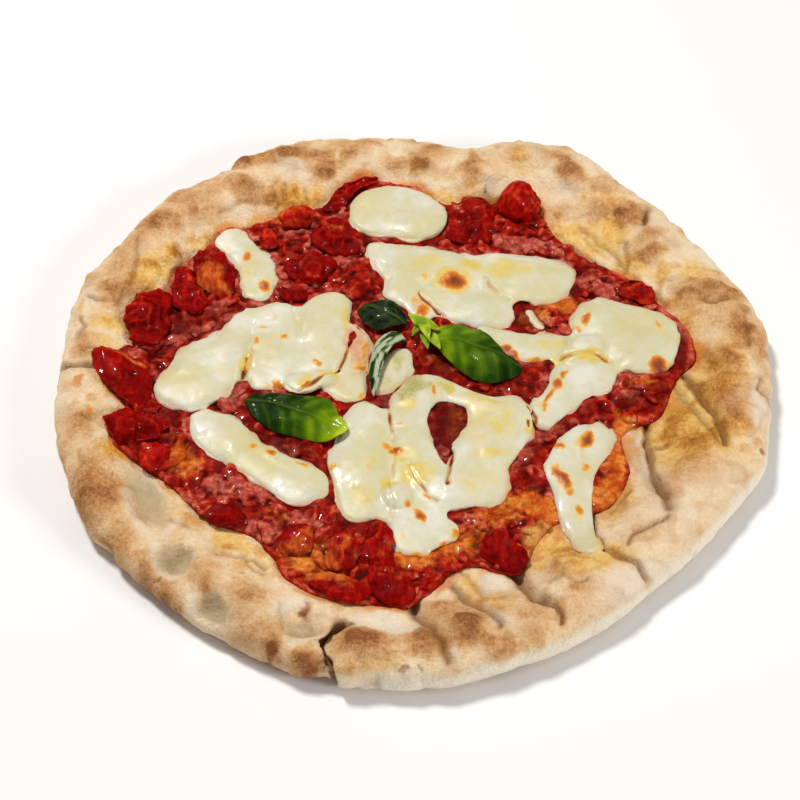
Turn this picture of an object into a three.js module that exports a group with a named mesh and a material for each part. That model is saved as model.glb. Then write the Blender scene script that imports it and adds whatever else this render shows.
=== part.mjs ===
// A whole, uncut margherita pizza, stretched by hand: a puffed crust, crushed tomato sauce, pieces of
// melted mozzarella, chunks of tomato and basil leaves. Millimetres, +Z up. The origin is the centre of
// the flat base, and the front of the pizza faces -Y.
import * as THREE from 'three';

// ---- driving dimensions -------------------------------------------------------------------------
const GAP = 0.4;               // air between pieces that rest on each other
const CELL = 0.5;              // grid pitch of the height map that new pieces are laid on
const HALF = 160;              // half the side of the height map

const DOUGH = 7.5;             // dough thickness under the topping
const RIM = 16.5;              // height of the raised edge
const CREST = 17;              // from the outline in to where the edge is at its full height
const RIM_FOOT = 41;           // from the outline in to where the dough is down at its floor
const SHOULDER = 9;            // rounding between the side wall and the crest, seen from above
const WALL = 9.5;              // height at which that rounding starts
const CRUST_WALL = [           // rings of the side wall: inset from the outline, height
  { inset: 7, z: 0 }, { inset: 2, z: 1.5 }, { inset: 0, z: 5.5 }, { inset: 0.6, z: 10 },
];
const CRUST_TOP_INSET = 2.6;

const SAUCE = { thick: 1.9, edge: 0.7, bank: 7, lump: 2.2, lumpSize: 6.5 };
const CHEESE = { thick: 3.4, round: 6, edge: 1.3, wobble: 0.9, wobbleSize: 13 };
const TOMATO = { round: 9, edge: 1.4, wobble: 1.9, wobbleSize: 7 };
const LEAF = 0.8;              // thickness of a basil leaf

// Mesh sizes: point spacing along an outline and inside it.
const CRUST_MESH = { step: 6.4, pitch: 6.6 };
const SAUCE_MESH = { step: 5.5, pitch: 4.7, below: 13 };
const CHEESE_MESH = { step: 5.2, pitch: 6.2, below: 12 };
const TOMATO_MESH = { step: 4.6, pitch: 4.4, below: 9 };
const LEAF_MESH = { step: 3.4, pitch: 4 };

// The outlines are drawn round the middle of the topping, which lies this far behind the base's centre.
const TOPPING_MIDDLE = new THREE.Vector3(0, 1.7, 0);

// ---- outlines and marks, as seen from above -----------------------------------------------------
const CRUST_OUTLINE = [
  [150, 0], [149.4, 26], [140, 50.2], [128, 72.8], [114, 94], [97.2, 114], [78.5, 134], [53.5, 144.6],
  [25, 139], [0, 144.8], [-26, 145.3], [-53, 143.2], [-78.5, 134], [-98.3, 115], [-118.5, 98],
  [-133, 75.6], [-146.5, 52.4], [-150.3, 26], [-150.3, 0], [-148, -25.3], [-141, -50], [-131, -73.4],
  [-115, -93.7], [-96.3, -111.3], [-75.5, -126.4], [-52.2, -138.8], [-41, -143.6], [-34.5, -143.6],
  [-28.5, -147], [0, -148.8], [26.5, -144.6], [51, -134.8], [73, -122.2], [91.5, -105.6], [109, -88.6],
  [125.3, -70], [139.6, -49.3], [145.2, -24.8],
];

// Where fingers, folds and bubbles shaped the edge: pressed in along a path, or puffed up.
const PRESSED = [
  { path: [[96, -22], [95, -42], [96, -59], [98, -70]], width: 5, depth: 3 },
  { path: [[117, -2], [120, -9], [123, -24], [124, -44]], width: 5, depth: 3.2 },
  { path: [[69, -72], [70, -86], [73, -94], [80, -100], [90, -108]], width: 4, depth: 2 },
  { path: [[40, -103], [43, -111], [47, -119], [54, -128]], width: 5, depth: 3 },
  { path: [[16, -108], [19, -114], [25, -123], [30, -131]], width: 5, depth: 1.6 },
  { path: [[0, -118], [4, -127], [10, -134], [13, -143]], width: 8, depth: 2.2 },
  { path: [[-28, -127], [-33, -137], [-34, -146]], width: 5, depth: 7 },
  { path: [[-74, -94], [-66, -95], [-57, -105]], width: 4, depth: 1.6 },
  { path: [[-114, -54], [-106, -67], [-98, -79]], width: 11, depth: 4.2 },
  { path: [[-94, -101], [-89, -101]], width: 9, depth: 3.8 },
  { path: [[-78, -121], [-74, -121]], width: 9, depth: 3 },
  { path: [[-44, -129], [-42, -129]], width: 7, depth: 3.6 },
  { path: [[-24, -125], [-12, -128], [-2, -131]], width: 8, depth: 2 },
  { path: [[102, 84], [108, 92]], width: 5, depth: 2.4 },
  { path: [[65, 79], [80, 70], [86, 63]], width: 6, depth: 1.6 },
  { path: [[104, -40], [98, -41]], width: 5, depth: 1.4 },
];
const PUFFED = [
  { path: [[-62, -116], [-52, -122]], width: 16, height: 1.8 },
  { path: [[-16, -138], [-8, -139]], width: 14, height: 1.4 },
  { path: [[26, -128], [34, -126]], width: 15, height: 1.6 },
  { path: [[-132, -50], [-124, -68]], width: 18, height: 1.4 },
  { path: [[-134, 50], [-128, 66]], width: 18, height: 1.3 },
  { path: [[-112, 92], [-100, 103]], width: 20, height: 1.5 },
  { path: [[-66, 122], [-50, 128]], width: 20, height: 1.3 },
  { path: [[50, 126], [70, 122]], width: 20, height: 1.6 },
  { path: [[122, 40], [126, 52]], width: 16, height: 1.6 },
  { path: [[110, -30], [109, -55]], width: 9, height: 1.6 },
  { path: [[134, -8], [134, -24]], width: 14, height: 1 },
];

const SAUCE_OUTLINE = [
  [118, 14], [117, 4], [109, -4], [105, -15], [100, -24], [96, -26], [90, -27], [84, -33], [86, -46],
  [83, -58], [76, -70], [66, -73], [52, -79], [43, -95], [40, -102], [28, -99], [17, -98], [8, -106],
  [1, -114], [-2, -119], [-12, -116], [-25, -117], [-40, -112], [-50, -104], [-56, -91], [-64, -83],
  [-78, -79], [-88, -71], [-98, -59], [-107, -53], [-120, -44], [-126, -33], [-118, -22], [-126, -15],
  [-135, -3], [-136, 8], [-124, 8], [-119, 12], [-124, 26], [-121, 40], [-110, 46], [-107, 57],
  [-100, 68], [-92, 77], [-86, 86], [-76, 87], [-66, 95], [-56, 101], [-45, 101], [-37, 112],
  [-26, 118], [-14, 116], [2, 112], [14, 103], [24, 106], [34, 103], [44, 110], [55, 106], [59, 92],
  [64, 83], [76, 70], [87, 62], [100, 50], [106, 39], [114, 29],
];

const MOZZARELLA = {
  back: { at: [[-31, 97], [-27, 106], [-12, 112], [2, 109], [12, 101], [15, 94], [11, 83], [0, 78],
    [-12, 80], [-24, 83], [-30, 90]], thick: 4.6 },
  long: { at: [[-22, 76], [-21, 66], [-17, 58], [-13, 52], [-16, 45], [-13, 41], [-5, 37], [-2, 31],
    [4, 28], [8, 31], [5, 38], [3, 46], [14, 49], [24, 48], [34, 46], [42, 41], [50, 39.5], [60, 40],
    [67, 46], [70, 56], [67, 62], [50, 68.5], [36, 69], [20, 69], [0, 74], [-12, 76]], thick: 3.8 },
  fold: { at: [[6, 45], [9, 38], [13, 30], [25, 26], [36, 25], [43, 31], [40, 39], [34, 44], [24, 46],
    [14, 47]], thick: 3.2 },
  right: { at: [[80, 42.5], [90, 38], [100, 35], [106, 31], [112, 24], [112, 17], [110, 9], [108, 4],
    [100, -1], [88, 0], [85, 4], [80, 9], [76, 16], [69, 20], [66, 26], [70, 34], [75, 40]], thick: 4.2 },
  band: { at: [[25, 25], [40, 22], [50, 21], [60, 21], [67, 18.5], [69, 13], [60, 9], [50, 5], [42, 7],
    [34, 11], [28, 18]], thick: 2.4 },
  middle_right: { at: [[60, 6], [70, 9], [80, 7], [84, -1], [83, -7], [72, -14], [62, -23], [52, -32],
    [48, -27], [46, -19], [52, -13], [56, -5]], thick: 3 },
  tongue: { at: [[72, -26], [78, -28], [79.5, -34], [78, -43], [74, -50], [70, -59], [69, -69],
    [69, -77], [70, -87], [71, -93], [67, -95.5], [63, -93], [59.5, -85], [55, -71], [54, -63],
    [50.5, -51], [54, -43], [60, -34], [66, -29]], thick: 2.6 },
  left: { at: [[-72.5, 35], [-78, 32], [-81, 26], [-86, 21], [-96, 14], [-103, 4], [-109, -9],
    [-108, -14], [-100, -19], [-92, -21], [-86, -19], [-80, -15], [-76, -9], [-74, 0], [-73, 10],
    [-71.5, 24]], thick: 4.4 },
  left_middle: { at: [[-69, 36], [-64, 39], [-56, 40], [-51.5, 34], [-51, 20], [-50.5, 5], [-52, -5],
    [-58, -10], [-68, -10], [-71.5, -1], [-71.5, 9], [-70, 24]], thick: 3.2 },
  middle: { at: [[-49, 35], [-46, 42], [-38, 46], [-31, 45], [-27, 38], [-30, 27], [-30, 13], [-33, 4],
    [-38, -1], [-45, -4], [-48.5, 2], [-49, 20]], thick: 3.2 },
  diagonal: { at: [[-88, -22], [-80, -23], [-74, -26], [-68, -32], [-63, -38], [-56, -43], [-48, -47],
    [-41, -51], [-36, -54], [-33.5, -60], [-36, -65], [-44, -69], [-50, -69], [-56, -65], [-62, -59],
    [-70, -53], [-80, -47], [-88, -40], [-92, -32], [-91.5, -26]], thick: 4.2 },
  back_left: { at: [[-91, 76], [-87, 82], [-77, 84], [-71, 74], [-64, 68], [-62, 58], [-61, 47],
    [-66, 41], [-75, 43], [-77, 54], [-80, 64], [-86, 70]], thick: 2.4 },
  pink: { at: [[-27.5, 25], [-22, 24], [-18.5, 17], [-20, 8], [-21, -2], [-21, -12], [-27, -17],
    [-34, -13], [-41, -9], [-36, -5], [-31, 0], [-28.5, 11]], thick: 2.6 },
  upright: { at: [[-24, -17], [-16, -19], [-12, -26], [-11.5, -40], [-11.5, -60], [-12, -74],
    [-20, -77], [-27, -77], [-31, -67], [-34, -55], [-36, -46], [-31, -35], [-29, -23]], thick: 3.6 },
  pool: { at: [[-10, -21], [-9, -14], [-5, -8], [0, -3], [7, -2], [15, -6], [23, -11], [31, -15],
    [40, -14], [45, -18], [47, -24], [47.5, -33], [43, -41], [40, -47], [36, -53], [35, -64], [30, -70],
    [20, -71], [12, -72], [5, -68], [-2, -62], [-9.5, -60], [-10, -40]], thick: 3.6,
  hole: [[9.5, -16], [15, -18], [21, -20], [21.5, -28], [18, -34], [15, -38], [13.5, -46],
    [12.5, -54], [10.5, -49], [7, -39], [4, -30], [5, -24], [7, -19]] },
  bottom: { at: [[-9.5, -66], [-10, -79], [-7, -92], [2, -94], [10, -89], [17, -84], [16, -78],
    [10, -75.5], [4, -71], [-3, -66]], thick: 3 },
  under_leaf: { at: [[-13, 8], [-8, 13], [-3, 13], [-1, 7], [-2, -1], [-7, -7], [-13, -11], [-17, -13],
    [-18.5, -7], [-15, 3]], thick: 3.4 },
  shred: { at: [[47, 36], [50, 35.5], [53, 30], [56, 25], [54, 23], [50.5, 26.5], [48, 31]], thick: 1.8 },
};

const TOMATOES = {
  wedge: { at: [[-135, 5], [-128, 5], [-114, 1], [-110, -6], [-110.5, -17], [-114, -22], [-121, -18],
    [-129, -11], [-133, -4]], high: 5.5 },
  left_dark: { at: [[-116, 42], [-109, 41], [-106, 28], [-107, 18], [-111, 13], [-118, 13], [-122, 18],
    [-123, 28], [-121, 36]], high: 8 },
  half: { at: [[-99, 65], [-93, 69], [-86, 67], [-81.5, 62], [-79, 55], [-79, 47], [-82, 41], [-88, 42],
    [-94, 48], [-98, 56]], high: 6.5 },
  left_mass: { at: [[-106, 44], [-105, 55], [-101, 61], [-98, 52], [-94, 44], [-88, 39], [-94, 33],
    [-102, 34]], high: 6 },
  wrinkled: { at: [[-125, -33], [-122, -27], [-110, -25], [-100, -28], [-104, -36], [-112, -42],
    [-119, -43], [-124, -39]], high: 5 },
  cube: { at: [[-111, -46], [-109, -41], [-102, -41.5], [-98.5, -47], [-102, -52], [-107, -54]], high: 5 },
  back_orange: { at: [[-64, 94], [-58, 98], [-48, 99], [-44.5, 94], [-46, 89], [-54, 85], [-61, 88]],
    high: 6 },
  back_small: { at: [[-74, 86], [-67, 84], [-62, 80], [-63, 73], [-68, 72], [-71.5, 78]], high: 5 },
  back_big: { at: [[-46, 86], [-38, 89], [-30, 87], [-25, 78], [-27, 70], [-36, 68], [-44, 73]], high: 8 },
  back_round: { at: [[-58, 62], [-52, 68], [-43, 68], [-37, 63], [-37, 56], [-42, 50], [-52, 51],
    [-58, 56]], high: 7 },
  skin: { at: [[-60, 48], [-55, 47], [-48.5, 43.5], [-51, 42], [-57, 42]], high: 3 },
  back_bank: { at: [[-43, 97], [-41, 104], [-34, 111], [-26, 116], [-16, 115.5], [-17, 113], [-26, 110],
    [-31, 104], [-35, 97]], high: 4 },
  standing: { at: [[38, 97], [40, 105], [47, 109], [55, 105], [57, 97], [52, 90], [44, 89]], high: 14 },
  back_right: { at: [[13, 80], [16, 86], [18, 96], [22, 101], [30, 103], [35, 97], [37, 90], [37, 84],
    [34, 78], [24, 75], [17, 76]], high: 6 },
  front_right: { at: [[26, -87], [29, -83], [35, -83], [38, -88], [41.5, -92], [42, -98], [39, -101],
    [33, -100], [27, -97], [25, -92]], high: 6.5 },
  bottom_long: { at: [[-19, -81], [-14, -79], [-10.5, -83], [-9.5, -92], [-6, -100], [-1, -109],
    [-2, -116], [-10, -115], [-15, -111], [-19, -104], [-20, -92]], high: 6.5 },
  bottom_left: { at: [[-41, -107], [-33, -113], [-25, -116], [-18, -113], [-22, -106], [-32, -103]],
    high: 5.5 },
  front_left: { at: [[-82, -75], [-76, -70], [-67, -74], [-65, -79], [-72, -81], [-79, -79]], high: 4.5 },
  right_bank: { at: [[87, 46], [90, 52], [96, 53], [102, 47], [104, 40], [101, 38], [93, 42]], high: 4 },
  bottom_mass: { at: [[-54, -86], [-50, -80], [-42, -80], [-38, -86], [-41, -93], [-49, -95]], high: 5 },
  bottom_red: { at: [[-34, -90], [-31, -82], [-23, -82], [-22, -91], [-24, -99], [-32, -99]], high: 5.5 },
};

// A leaf arches over its midrib, from base to tip, by `arch`, and its end lifts by `lift`.
const BASIL = {
  front: { at: [[-27, -34], [-31, -26], [-34, -19], [-39, -16], [-50, -15], [-58, -14.5], [-66, -15],
    [-70.5, -17], [-69, -23], [-61, -32], [-51, -37], [-41, -39], [-32, -38]],
  rib: [[-69, -18], [-27, -34]], arch: 3.6, lift: 1.5, ripple: 0.8 },
  back: { at: [[-3.5, 24], [-6, 32], [-9, 36.5], [-15, 38.5], [-21, 38.5], [-25.5, 35.5], [-25, 31],
    [-21, 24], [-16, 20.5], [-10, 22]],
  rib: [[-4, 24], [-24, 37]], arch: 4.2, lift: 3.5, ripple: 0.7 },
  curled: { at: [[-4, 15.5], [-8, 20], [-13, 19], [-17, 14], [-19, 6], [-20, -2], [-19.2, -10],
    [-17.5, -15], [-15.8, -11], [-14.3, -3], [-12.3, 5], [-9, 11]],
  rib: [[-5, 17], [-17.5, -15]], arch: 2.6, lift: 2, ripple: 0.4 },
  right: { at: [[6.5, 18], [12.5, 23], [18, 23.5], [25, 21.5], [31, 17], [35, 11.5], [38, 7.5], [42, 5],
    [45, 1], [43, -3.5], [38, -6.5], [32, -8], [25, -7], [20, -3.5], [15, 2], [10.5, 8]],
  rib: [[6, 17], [45, 1]], arch: 5, lift: 2.5, ripple: 0.9 },
  bud: { at: [[-3, 23], [-1, 27], [4, 26.5], [7, 20], [10, 13], [10, 7], [6, 7], [1, 12], [-3, 17]],
    rib: [[-1, 26], [9, 8]], arch: 2.8, lift: 1.5, ripple: 0.5 },
};

// ---- colours ------------------------------------------------------------------------------------
const finish = (color, roughness) => new THREE.MeshStandardMaterial({ color, roughness, metalness: 0 });
const BAKED = finish(0xd2a36e, 0.8);
const RED_SAUCE = finish(0x9c2016, 0.35);
const MELTED = finish(0xeee6cf, 0.35);
const RED_FLESH = finish(0xb01b12, 0.25);
const GREEN = finish(0x2f6b22, 0.4);

// ---- small maths --------------------------------------------------------------------------------
const clamp01 = (t) => Math.min(1, Math.max(0, t));
const ease = (from, to, t) => {
  const s = clamp01((t - from) / (to - from));
  return s * s * (3 - 2 * s);
};

function scatter(i, j, seed) {
  const s = Math.sin(i * 127.1 + j * 311.7 + seed * 74.7) * 43758.5453;
  return s - Math.floor(s);
}

/** Smooth value noise from -1 to 1, with features about `size` across. */
function bumps(x, y, size, seed) {
  const u = x / size;
  const v = y / size;
  const i = Math.floor(u);
  const j = Math.floor(v);
  const a = ease(0, 1, u - i);
  const b = ease(0, 1, v - j);
  const low = scatter(i, j, seed) * (1 - a) + scatter(i + 1, j, seed) * a;
  const high = scatter(i, j + 1, seed) * (1 - a) + scatter(i + 1, j + 1, seed) * a;
  return 2 * (low * (1 - b) + high * b) - 1;
}

function segmentDistance([ax, ay], [bx, by], x, y) {
  const dx = bx - ax;
  const dy = by - ay;
  const t = clamp01(((x - ax) * dx + (y - ay) * dy) / (dx * dx + dy * dy));
  return Math.hypot(x - ax - t * dx, y - ay - t * dy);
}

function pathDistance(path, x, y) {
  let nearest = Infinity;
  for (let i = 1; i < path.length; i += 1) {
    nearest = Math.min(nearest, segmentDistance(path[i - 1], path[i], x, y));
  }
  return nearest;
}

// ---- closed outlines ----------------------------------------------------------------------------
/** Even points on a smooth closed curve through `points`, anticlockwise. */
function smoothLoop(points, step) {
  const curve = new THREE.CatmullRomCurve3(
    points.map(([x, y]) => new THREE.Vector3(x, y, 0)), true, 'centripetal');
  const count = Math.max(10, Math.round(curve.getLength() / step));
  const loop = curve.getSpacedPoints(count).slice(0, count).map((p) => [p.x, p.y]);
  return THREE.ShapeUtils.area(loop.map(([x, y]) => new THREE.Vector2(x, y))) < 0 ? loop.reverse() : loop;
}

/** The loop moved to its left by `by`: into the material, for an outline and for a hole run backwards. */
function insetLoop(loop, by) {
  const count = loop.length;
  return loop.map(([x, y], i) => {
    const [px, py] = loop[(i + count - 1) % count];
    const [nx, ny] = loop[(i + 1) % count];
    const long = Math.hypot(nx - px, ny - py);
    return [x - ((ny - py) / long) * by, y + ((nx - px) / long) * by];
  });
}

const loopDistance = (loop, x, y) => pathDistance([...loop, loop[0]], x, y);
const edgeDistance = (loops, x, y) => Math.min(...loops.map((loop) => loopDistance(loop, x, y)));

function inside(loops, x, y) {
  let odd = false;
  for (const loop of loops) {
    loop.forEach(([ax, ay], i) => {
      const [bx, by] = loop[(i + 1) % loop.length];
      if ((ay > y) !== (by > y) && x < ((bx - ax) * (y - ay)) / (by - ay) + ax) odd = !odd;
    });
  }
  return odd;
}

// ---- flat triangulation -------------------------------------------------------------------------
function circumcircle(points, a, b, c) {
  const [ax, ay] = points[a];
  const bx = points[b][0] - ax;
  const by = points[b][1] - ay;
  const cx = points[c][0] - ax;
  const cy = points[c][1] - ay;
  const d = 2 * (bx * cy - by * cx);
  const ux = (cy * (bx * bx + by * by) - by * (cx * cx + cy * cy)) / d;
  const uy = (bx * (cx * cx + cy * cy) - cx * (bx * bx + by * by)) / d;
  return { corners: d > 0 ? [a, b, c] : [a, c, b], x: ax + ux, y: ay + uy, r2: ux * ux + uy * uy };
}

/** Delaunay triangles of the points, each anticlockwise, by adding one point at a time. */
function delaunay(points) {
  const far = 1e5;
  const all = [...points, [-far, -far], [far, -far], [0, far]];
  const first = points.length;
  let triangles = [circumcircle(all, first, first + 1, first + 2)];
  points.forEach(([x, y], i) => {
    const rim = new Map();
    const kept = [];
    for (const triangle of triangles) {
      if ((x - triangle.x) ** 2 + (y - triangle.y) ** 2 >= triangle.r2) {
        kept.push(triangle);
        continue;
      }
      triangle.corners.forEach((a, k) => {
        const b = triangle.corners[(k + 1) % 3];
        const key = Math.min(a, b) * all.length + Math.max(a, b);
        if (rim.has(key)) rim.delete(key);
        else rim.set(key, [a, b]);
      });
    }
    for (const [a, b] of rim.values()) kept.push(circumcircle(all, a, b, i));
    triangles = kept;
  });
  return triangles.map((t) => t.corners).filter((t) => t.every((i) => i < first));
}

/** Points and triangles that fill the loops. The loops' own points come first, in their order. */
function fill(name, loops, pitch, keep = () => true) {
  const points = loops.flat();
  const rimCount = points.length;
  const rows = Math.ceil(HALF / (pitch * 0.866));
  const columns = Math.ceil(HALF / pitch);
  for (let j = -rows; j <= rows; j += 1) {
    for (let i = -columns; i <= columns; i += 1) {
      const x = (i + (j & 1) / 2 + 0.3 * (scatter(i, j, 1) - 0.5)) * pitch;
      const y = (j * 0.866 + 0.3 * (scatter(i, j, 2) - 0.5)) * pitch;
      if (keep(x, y, i, j) && inside(loops, x, y) && edgeDistance(loops, x, y) > 0.55 * pitch) {
        points.push([x, y]);
      }
    }
  }
  const triangles = delaunay(points).filter((t) => {
    const [x, y] = [0, 1].map((k) => (points[t[0]][k] + points[t[1]][k] + points[t[2]][k]) / 3);
    return inside(loops, x, y);
  });
  if (triangles.length !== 2 * (points.length + loops.length - 2) - rimCount) {
    throw new Error(`${name}: the triangles don't follow the outline`);
  }
  return { points, triangles };
}

// ---- the height map that pieces are laid on -----------------------------------------------------
const SIDE = Math.round((2 * HALF) / CELL);
const heights = new Float32Array(SIDE * SIDE);

/** Adds a closed mesh to the height map. */
function layDown({ points, triangles }) {
  for (const [a, b, c] of triangles.map((t) => t.map((i) => points[i]))) {
    const area = (b[0] - a[0]) * (c[1] - a[1]) - (c[0] - a[0]) * (b[1] - a[1]);
    if (area <= 0) continue;
    const cell = (v) => Math.floor((v + HALF) / CELL);
    for (let j = cell(Math.min(a[1], b[1], c[1])); j <= cell(Math.max(a[1], b[1], c[1])); j += 1) {
      for (let i = cell(Math.min(a[0], b[0], c[0])); i <= cell(Math.max(a[0], b[0], c[0])); i += 1) {
        const x = (i + 0.5) * CELL - HALF;
        const y = (j + 0.5) * CELL - HALF;
        const u = ((b[0] - x) * (c[1] - y) - (c[0] - x) * (b[1] - y)) / area;
        const v = ((c[0] - x) * (a[1] - y) - (a[0] - x) * (c[1] - y)) / area;
        if (u < -0.02 || v < -0.02 || u + v > 1.02) continue;
        const z = u * a[2] + v * b[2] + (1 - u - v) * c[2];
        heights[j * SIDE + i] = Math.max(heights[j * SIDE + i], z);
      }
    }
  }
}

/** The highest thing laid down so far within a cell of (x, y). */
function bedHeight(x, y) {
  const i = Math.floor((x + HALF) / CELL);
  const j = Math.floor((y + HALF) / CELL);
  let z = 0;
  for (let m = -1; m <= 1; m += 1) {
    for (let n = -1; n <= 1; n += 1) z = Math.max(z, heights[(j + m) * SIDE + i + n]);
  }
  return z;
}

/** Lifts corners of the listed triangles until every spot on them clears what lies below by GAP. */
function clearBed(points, triangles) {
  const parts = 6;
  for (let round = 0; round < 8; round += 1) {
    const lift = new Map();
    for (const corners of triangles) {
      const [a, b, c] = corners.map((i) => points[i]);
      for (let p = 0; p <= parts; p += 1) {
        for (let q = 0; q <= parts - p; q += 1) {
          const w = [p / parts, q / parts, (parts - p - q) / parts];
          const [x, y, z] = [0, 1, 2].map((k) => w[0] * a[k] + w[1] * b[k] + w[2] * c[k]);
          const short = bedHeight(x, y) + GAP - z;
          if (short <= 0) continue;
          corners.forEach((i, k) => {
            if (w[k] > 0.1) lift.set(i, Math.max(lift.get(i) ?? 0, short));
          });
        }
      }
    }
    if (!lift.size) return;
    for (const [i, up] of lift) points[i][2] += up + 0.01;
  }
}

// ---- solids -------------------------------------------------------------------------------------
const pizza = new THREE.Group();
pizza.position.copy(TOPPING_MIDDLE);

function addMesh(name, { points, triangles }, material) {
  const geometry = new THREE.BufferGeometry();
  geometry.setAttribute('position', new THREE.Float32BufferAttribute(points.flat(), 3));
  geometry.setIndex(triangles.flat());
  geometry.computeVertexNormals();
  const mesh = new THREE.Mesh(geometry, material);
  mesh.name = name;
  pizza.add(mesh);
  layDown({ points, triangles });
}

/** Triangles between two rings of points that run side by side, the first one above the second. */
function band(loops, upper, lower) {
  const triangles = [];
  let start = 0;
  for (const loop of loops) {
    loop.forEach((_, i) => {
      const j = (i + 1) % loop.length;
      const [a, b] = [upper + start + i, upper + start + j];
      const [c, d] = [lower + start + i, lower + start + j];
      triangles.push([a, c, b], [b, c, d]);
    });
    start += loop.length;
  }
  return triangles;
}

/**
 * A solid with a top and an underside, each filled with triangles of its own, and a rounded side of
 * rings between them. `rings` runs from the top ring's neighbour down to the underside's ring.
 */
function slab(name, loops, { top, rings, over, pitch, below, keep }) {
  const insets = (by) => loops.map((loop) => insetLoop(loop, by));
  const upper = fill(name, insets(top), pitch, keep);
  const points = upper.points.map(([x, y]) => [x, y, over(x, y)]);
  const triangles = [...upper.triangles];
  let previous = 0;
  for (const ring of rings.slice(0, -1)) {
    const start = points.length;
    points.push(...insets(ring.inset).flat().map(([x, y]) => [x, y, ring.at(x, y)]));
    triangles.push(...band(loops, previous, start));
    previous = start;
  }
  const last = rings[rings.length - 1];
  const lower = fill(name, insets(last.inset), below);
  const start = points.length;
  points.push(...lower.points.map(([x, y]) => [x, y, last.at(x, y)]));
  const side = band(loops, previous, start);
  const underside = lower.triangles.map(([a, b, c]) => [a + start, c + start, b + start]);
  triangles.push(...side, ...underside);
  return { points, triangles, sole: [...side, ...underside] };
}

/** The rounded rise of a soft piece from its edge: 0 at the outline, 1 from `round` inwards. */
const swell = (distance, round) => Math.sqrt(1 - (1 - clamp01(distance / round)) ** 2);

/** A soft piece that lies on what is already there and takes its shape. */
function softPiece(name, material, { at, hole, high, seed }, style, mesh) {
  const loops = [smoothLoop(at, mesh.step)];
  if (hole) loops.push(smoothLoop(hole, mesh.step * 0.8).reverse());
  const rest = (x, y) => bedHeight(x, y) + GAP;
  const lift = (x, y) => {
    const distance = edgeDistance(loops, x, y);
    const wobble = style.wobble * bumps(x, y, style.wobbleSize, seed) * ease(0, style.round, distance);
    return high * swell(distance, style.round) + wobble;
  };
  const body = slab(name, loops, {
    top: style.edge,
    over: (x, y) => rest(x, y) + Math.max(lift(x, y), 0.9),
    rings: [
      { inset: 0, at: (x, y) => rest(x, y) + 0.35 * Math.min(high, 4) },
      { inset: style.edge * 0.8, at: rest },
    ],
    pitch: mesh.pitch,
    below: mesh.below,
  });
  clearBed(body.points, body.sole);
  addMesh(name, body, material);
}

/** A thin leaf, both faces split alike: it arches over its midrib and lies on what is below. */
function leaf(name, { at, rib, arch, lift, ripple }, seed) {
  const loops = [smoothLoop(at, LEAF_MESH.step)];
  const flat = fill(name, loops, LEAF_MESH.pitch);
  const count = flat.points.length;
  const [base, tip] = rib;
  const long = Math.hypot(tip[0] - base[0], tip[1] - base[1]);
  const lows = flat.points.map(([x, y]) => {
    const along = clamp01(((x - base[0]) * (tip[0] - base[0]) + (y - base[1]) * (tip[1] - base[1])) / long ** 2);
    const out = loopDistance(loops[0], x, y);
    const crown = arch * swell(out, 7) * Math.sin(Math.PI * (0.15 + 0.7 * along));
    const crease = 0.8 * (1 - ease(0, 2.5, segmentDistance(base, tip, x, y)));
    const wave = ripple * bumps(x, y, 6, seed);
    return [x, y, bedHeight(x, y) + GAP + 0.6 + crown - crease + wave * ease(0, 5, out) + lift * (1 - along)];
  });
  const under = flat.triangles.map(([a, b, c]) => [a + count, c + count, b + count]);
  const points = [...lows.map(([x, y, z]) => [x, y, z]), ...lows];
  clearBed(points, under);
  for (let i = 0; i < count; i += 1) points[i][2] = points[i + count][2] + LEAF;
  addMesh(name, { points, triangles: [...flat.triangles, ...band(loops, 0, count), ...under] }, GREEN);
}

// ---- the crust ----------------------------------------------------------------------------------
const crustLoop = smoothLoop(CRUST_OUTLINE, CRUST_MESH.step);

function doughTop(x, y) {
  const distance = loopDistance(crustLoop, x, y);
  const level = DOUGH + (RIM - DOUGH) * (1 - ease(CREST, RIM_FOOT, distance));
  let z = WALL + (level - WALL) * (distance < SHOULDER ? swell(distance, SHOULDER) : 1);
  const onEdge = 1 - ease(CREST, RIM_FOOT - 6, distance);
  z += 0.7 * onEdge * bumps(x, y, 19, 3) * ease(0, 8, distance);
  for (const { path, width, height } of PUFFED) {
    z += height * Math.exp(-((pathDistance(path, x, y) / width) ** 2) * 2);
  }
  for (const { path, width, depth } of PRESSED) {
    z -= depth * Math.exp(-((pathDistance(path, x, y) / width) ** 2) * 3);
  }
  return z;
}

function crust() {
  const underSauce = 46;
  const body = slab('crust', [crustLoop], {
    top: CRUST_TOP_INSET,
    over: doughTop,
    rings: [...CRUST_WALL].reverse().map(({ inset, z }) => ({ inset, at: () => z })),
    pitch: CRUST_MESH.pitch,
    below: 60,
    keep: (x, y, i, j) => loopDistance(crustLoop, x, y) < underSauce || (i % 2 === 0 && j % 2 === 0),
  });
  addMesh('crust', body, BAKED);
}

// ---- the sauce ----------------------------------------------------------------------------------
const toppingLoops = [...Object.values(MOZZARELLA), ...Object.values(TOMATOES)].map(({ at, hole }) => (
  [smoothLoop(at, 4), ...(hole ? [smoothLoop(hole, 3).reverse()] : [])]));

/** How far the sauce at (x, y) lies outside every topping: 0 under one. */
function openSauce(x, y) {
  let nearest = Infinity;
  for (const loops of toppingLoops) {
    if (inside(loops, x, y)) return 0;
    nearest = Math.min(nearest, edgeDistance(loops, x, y));
  }
  return nearest;
}

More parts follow.
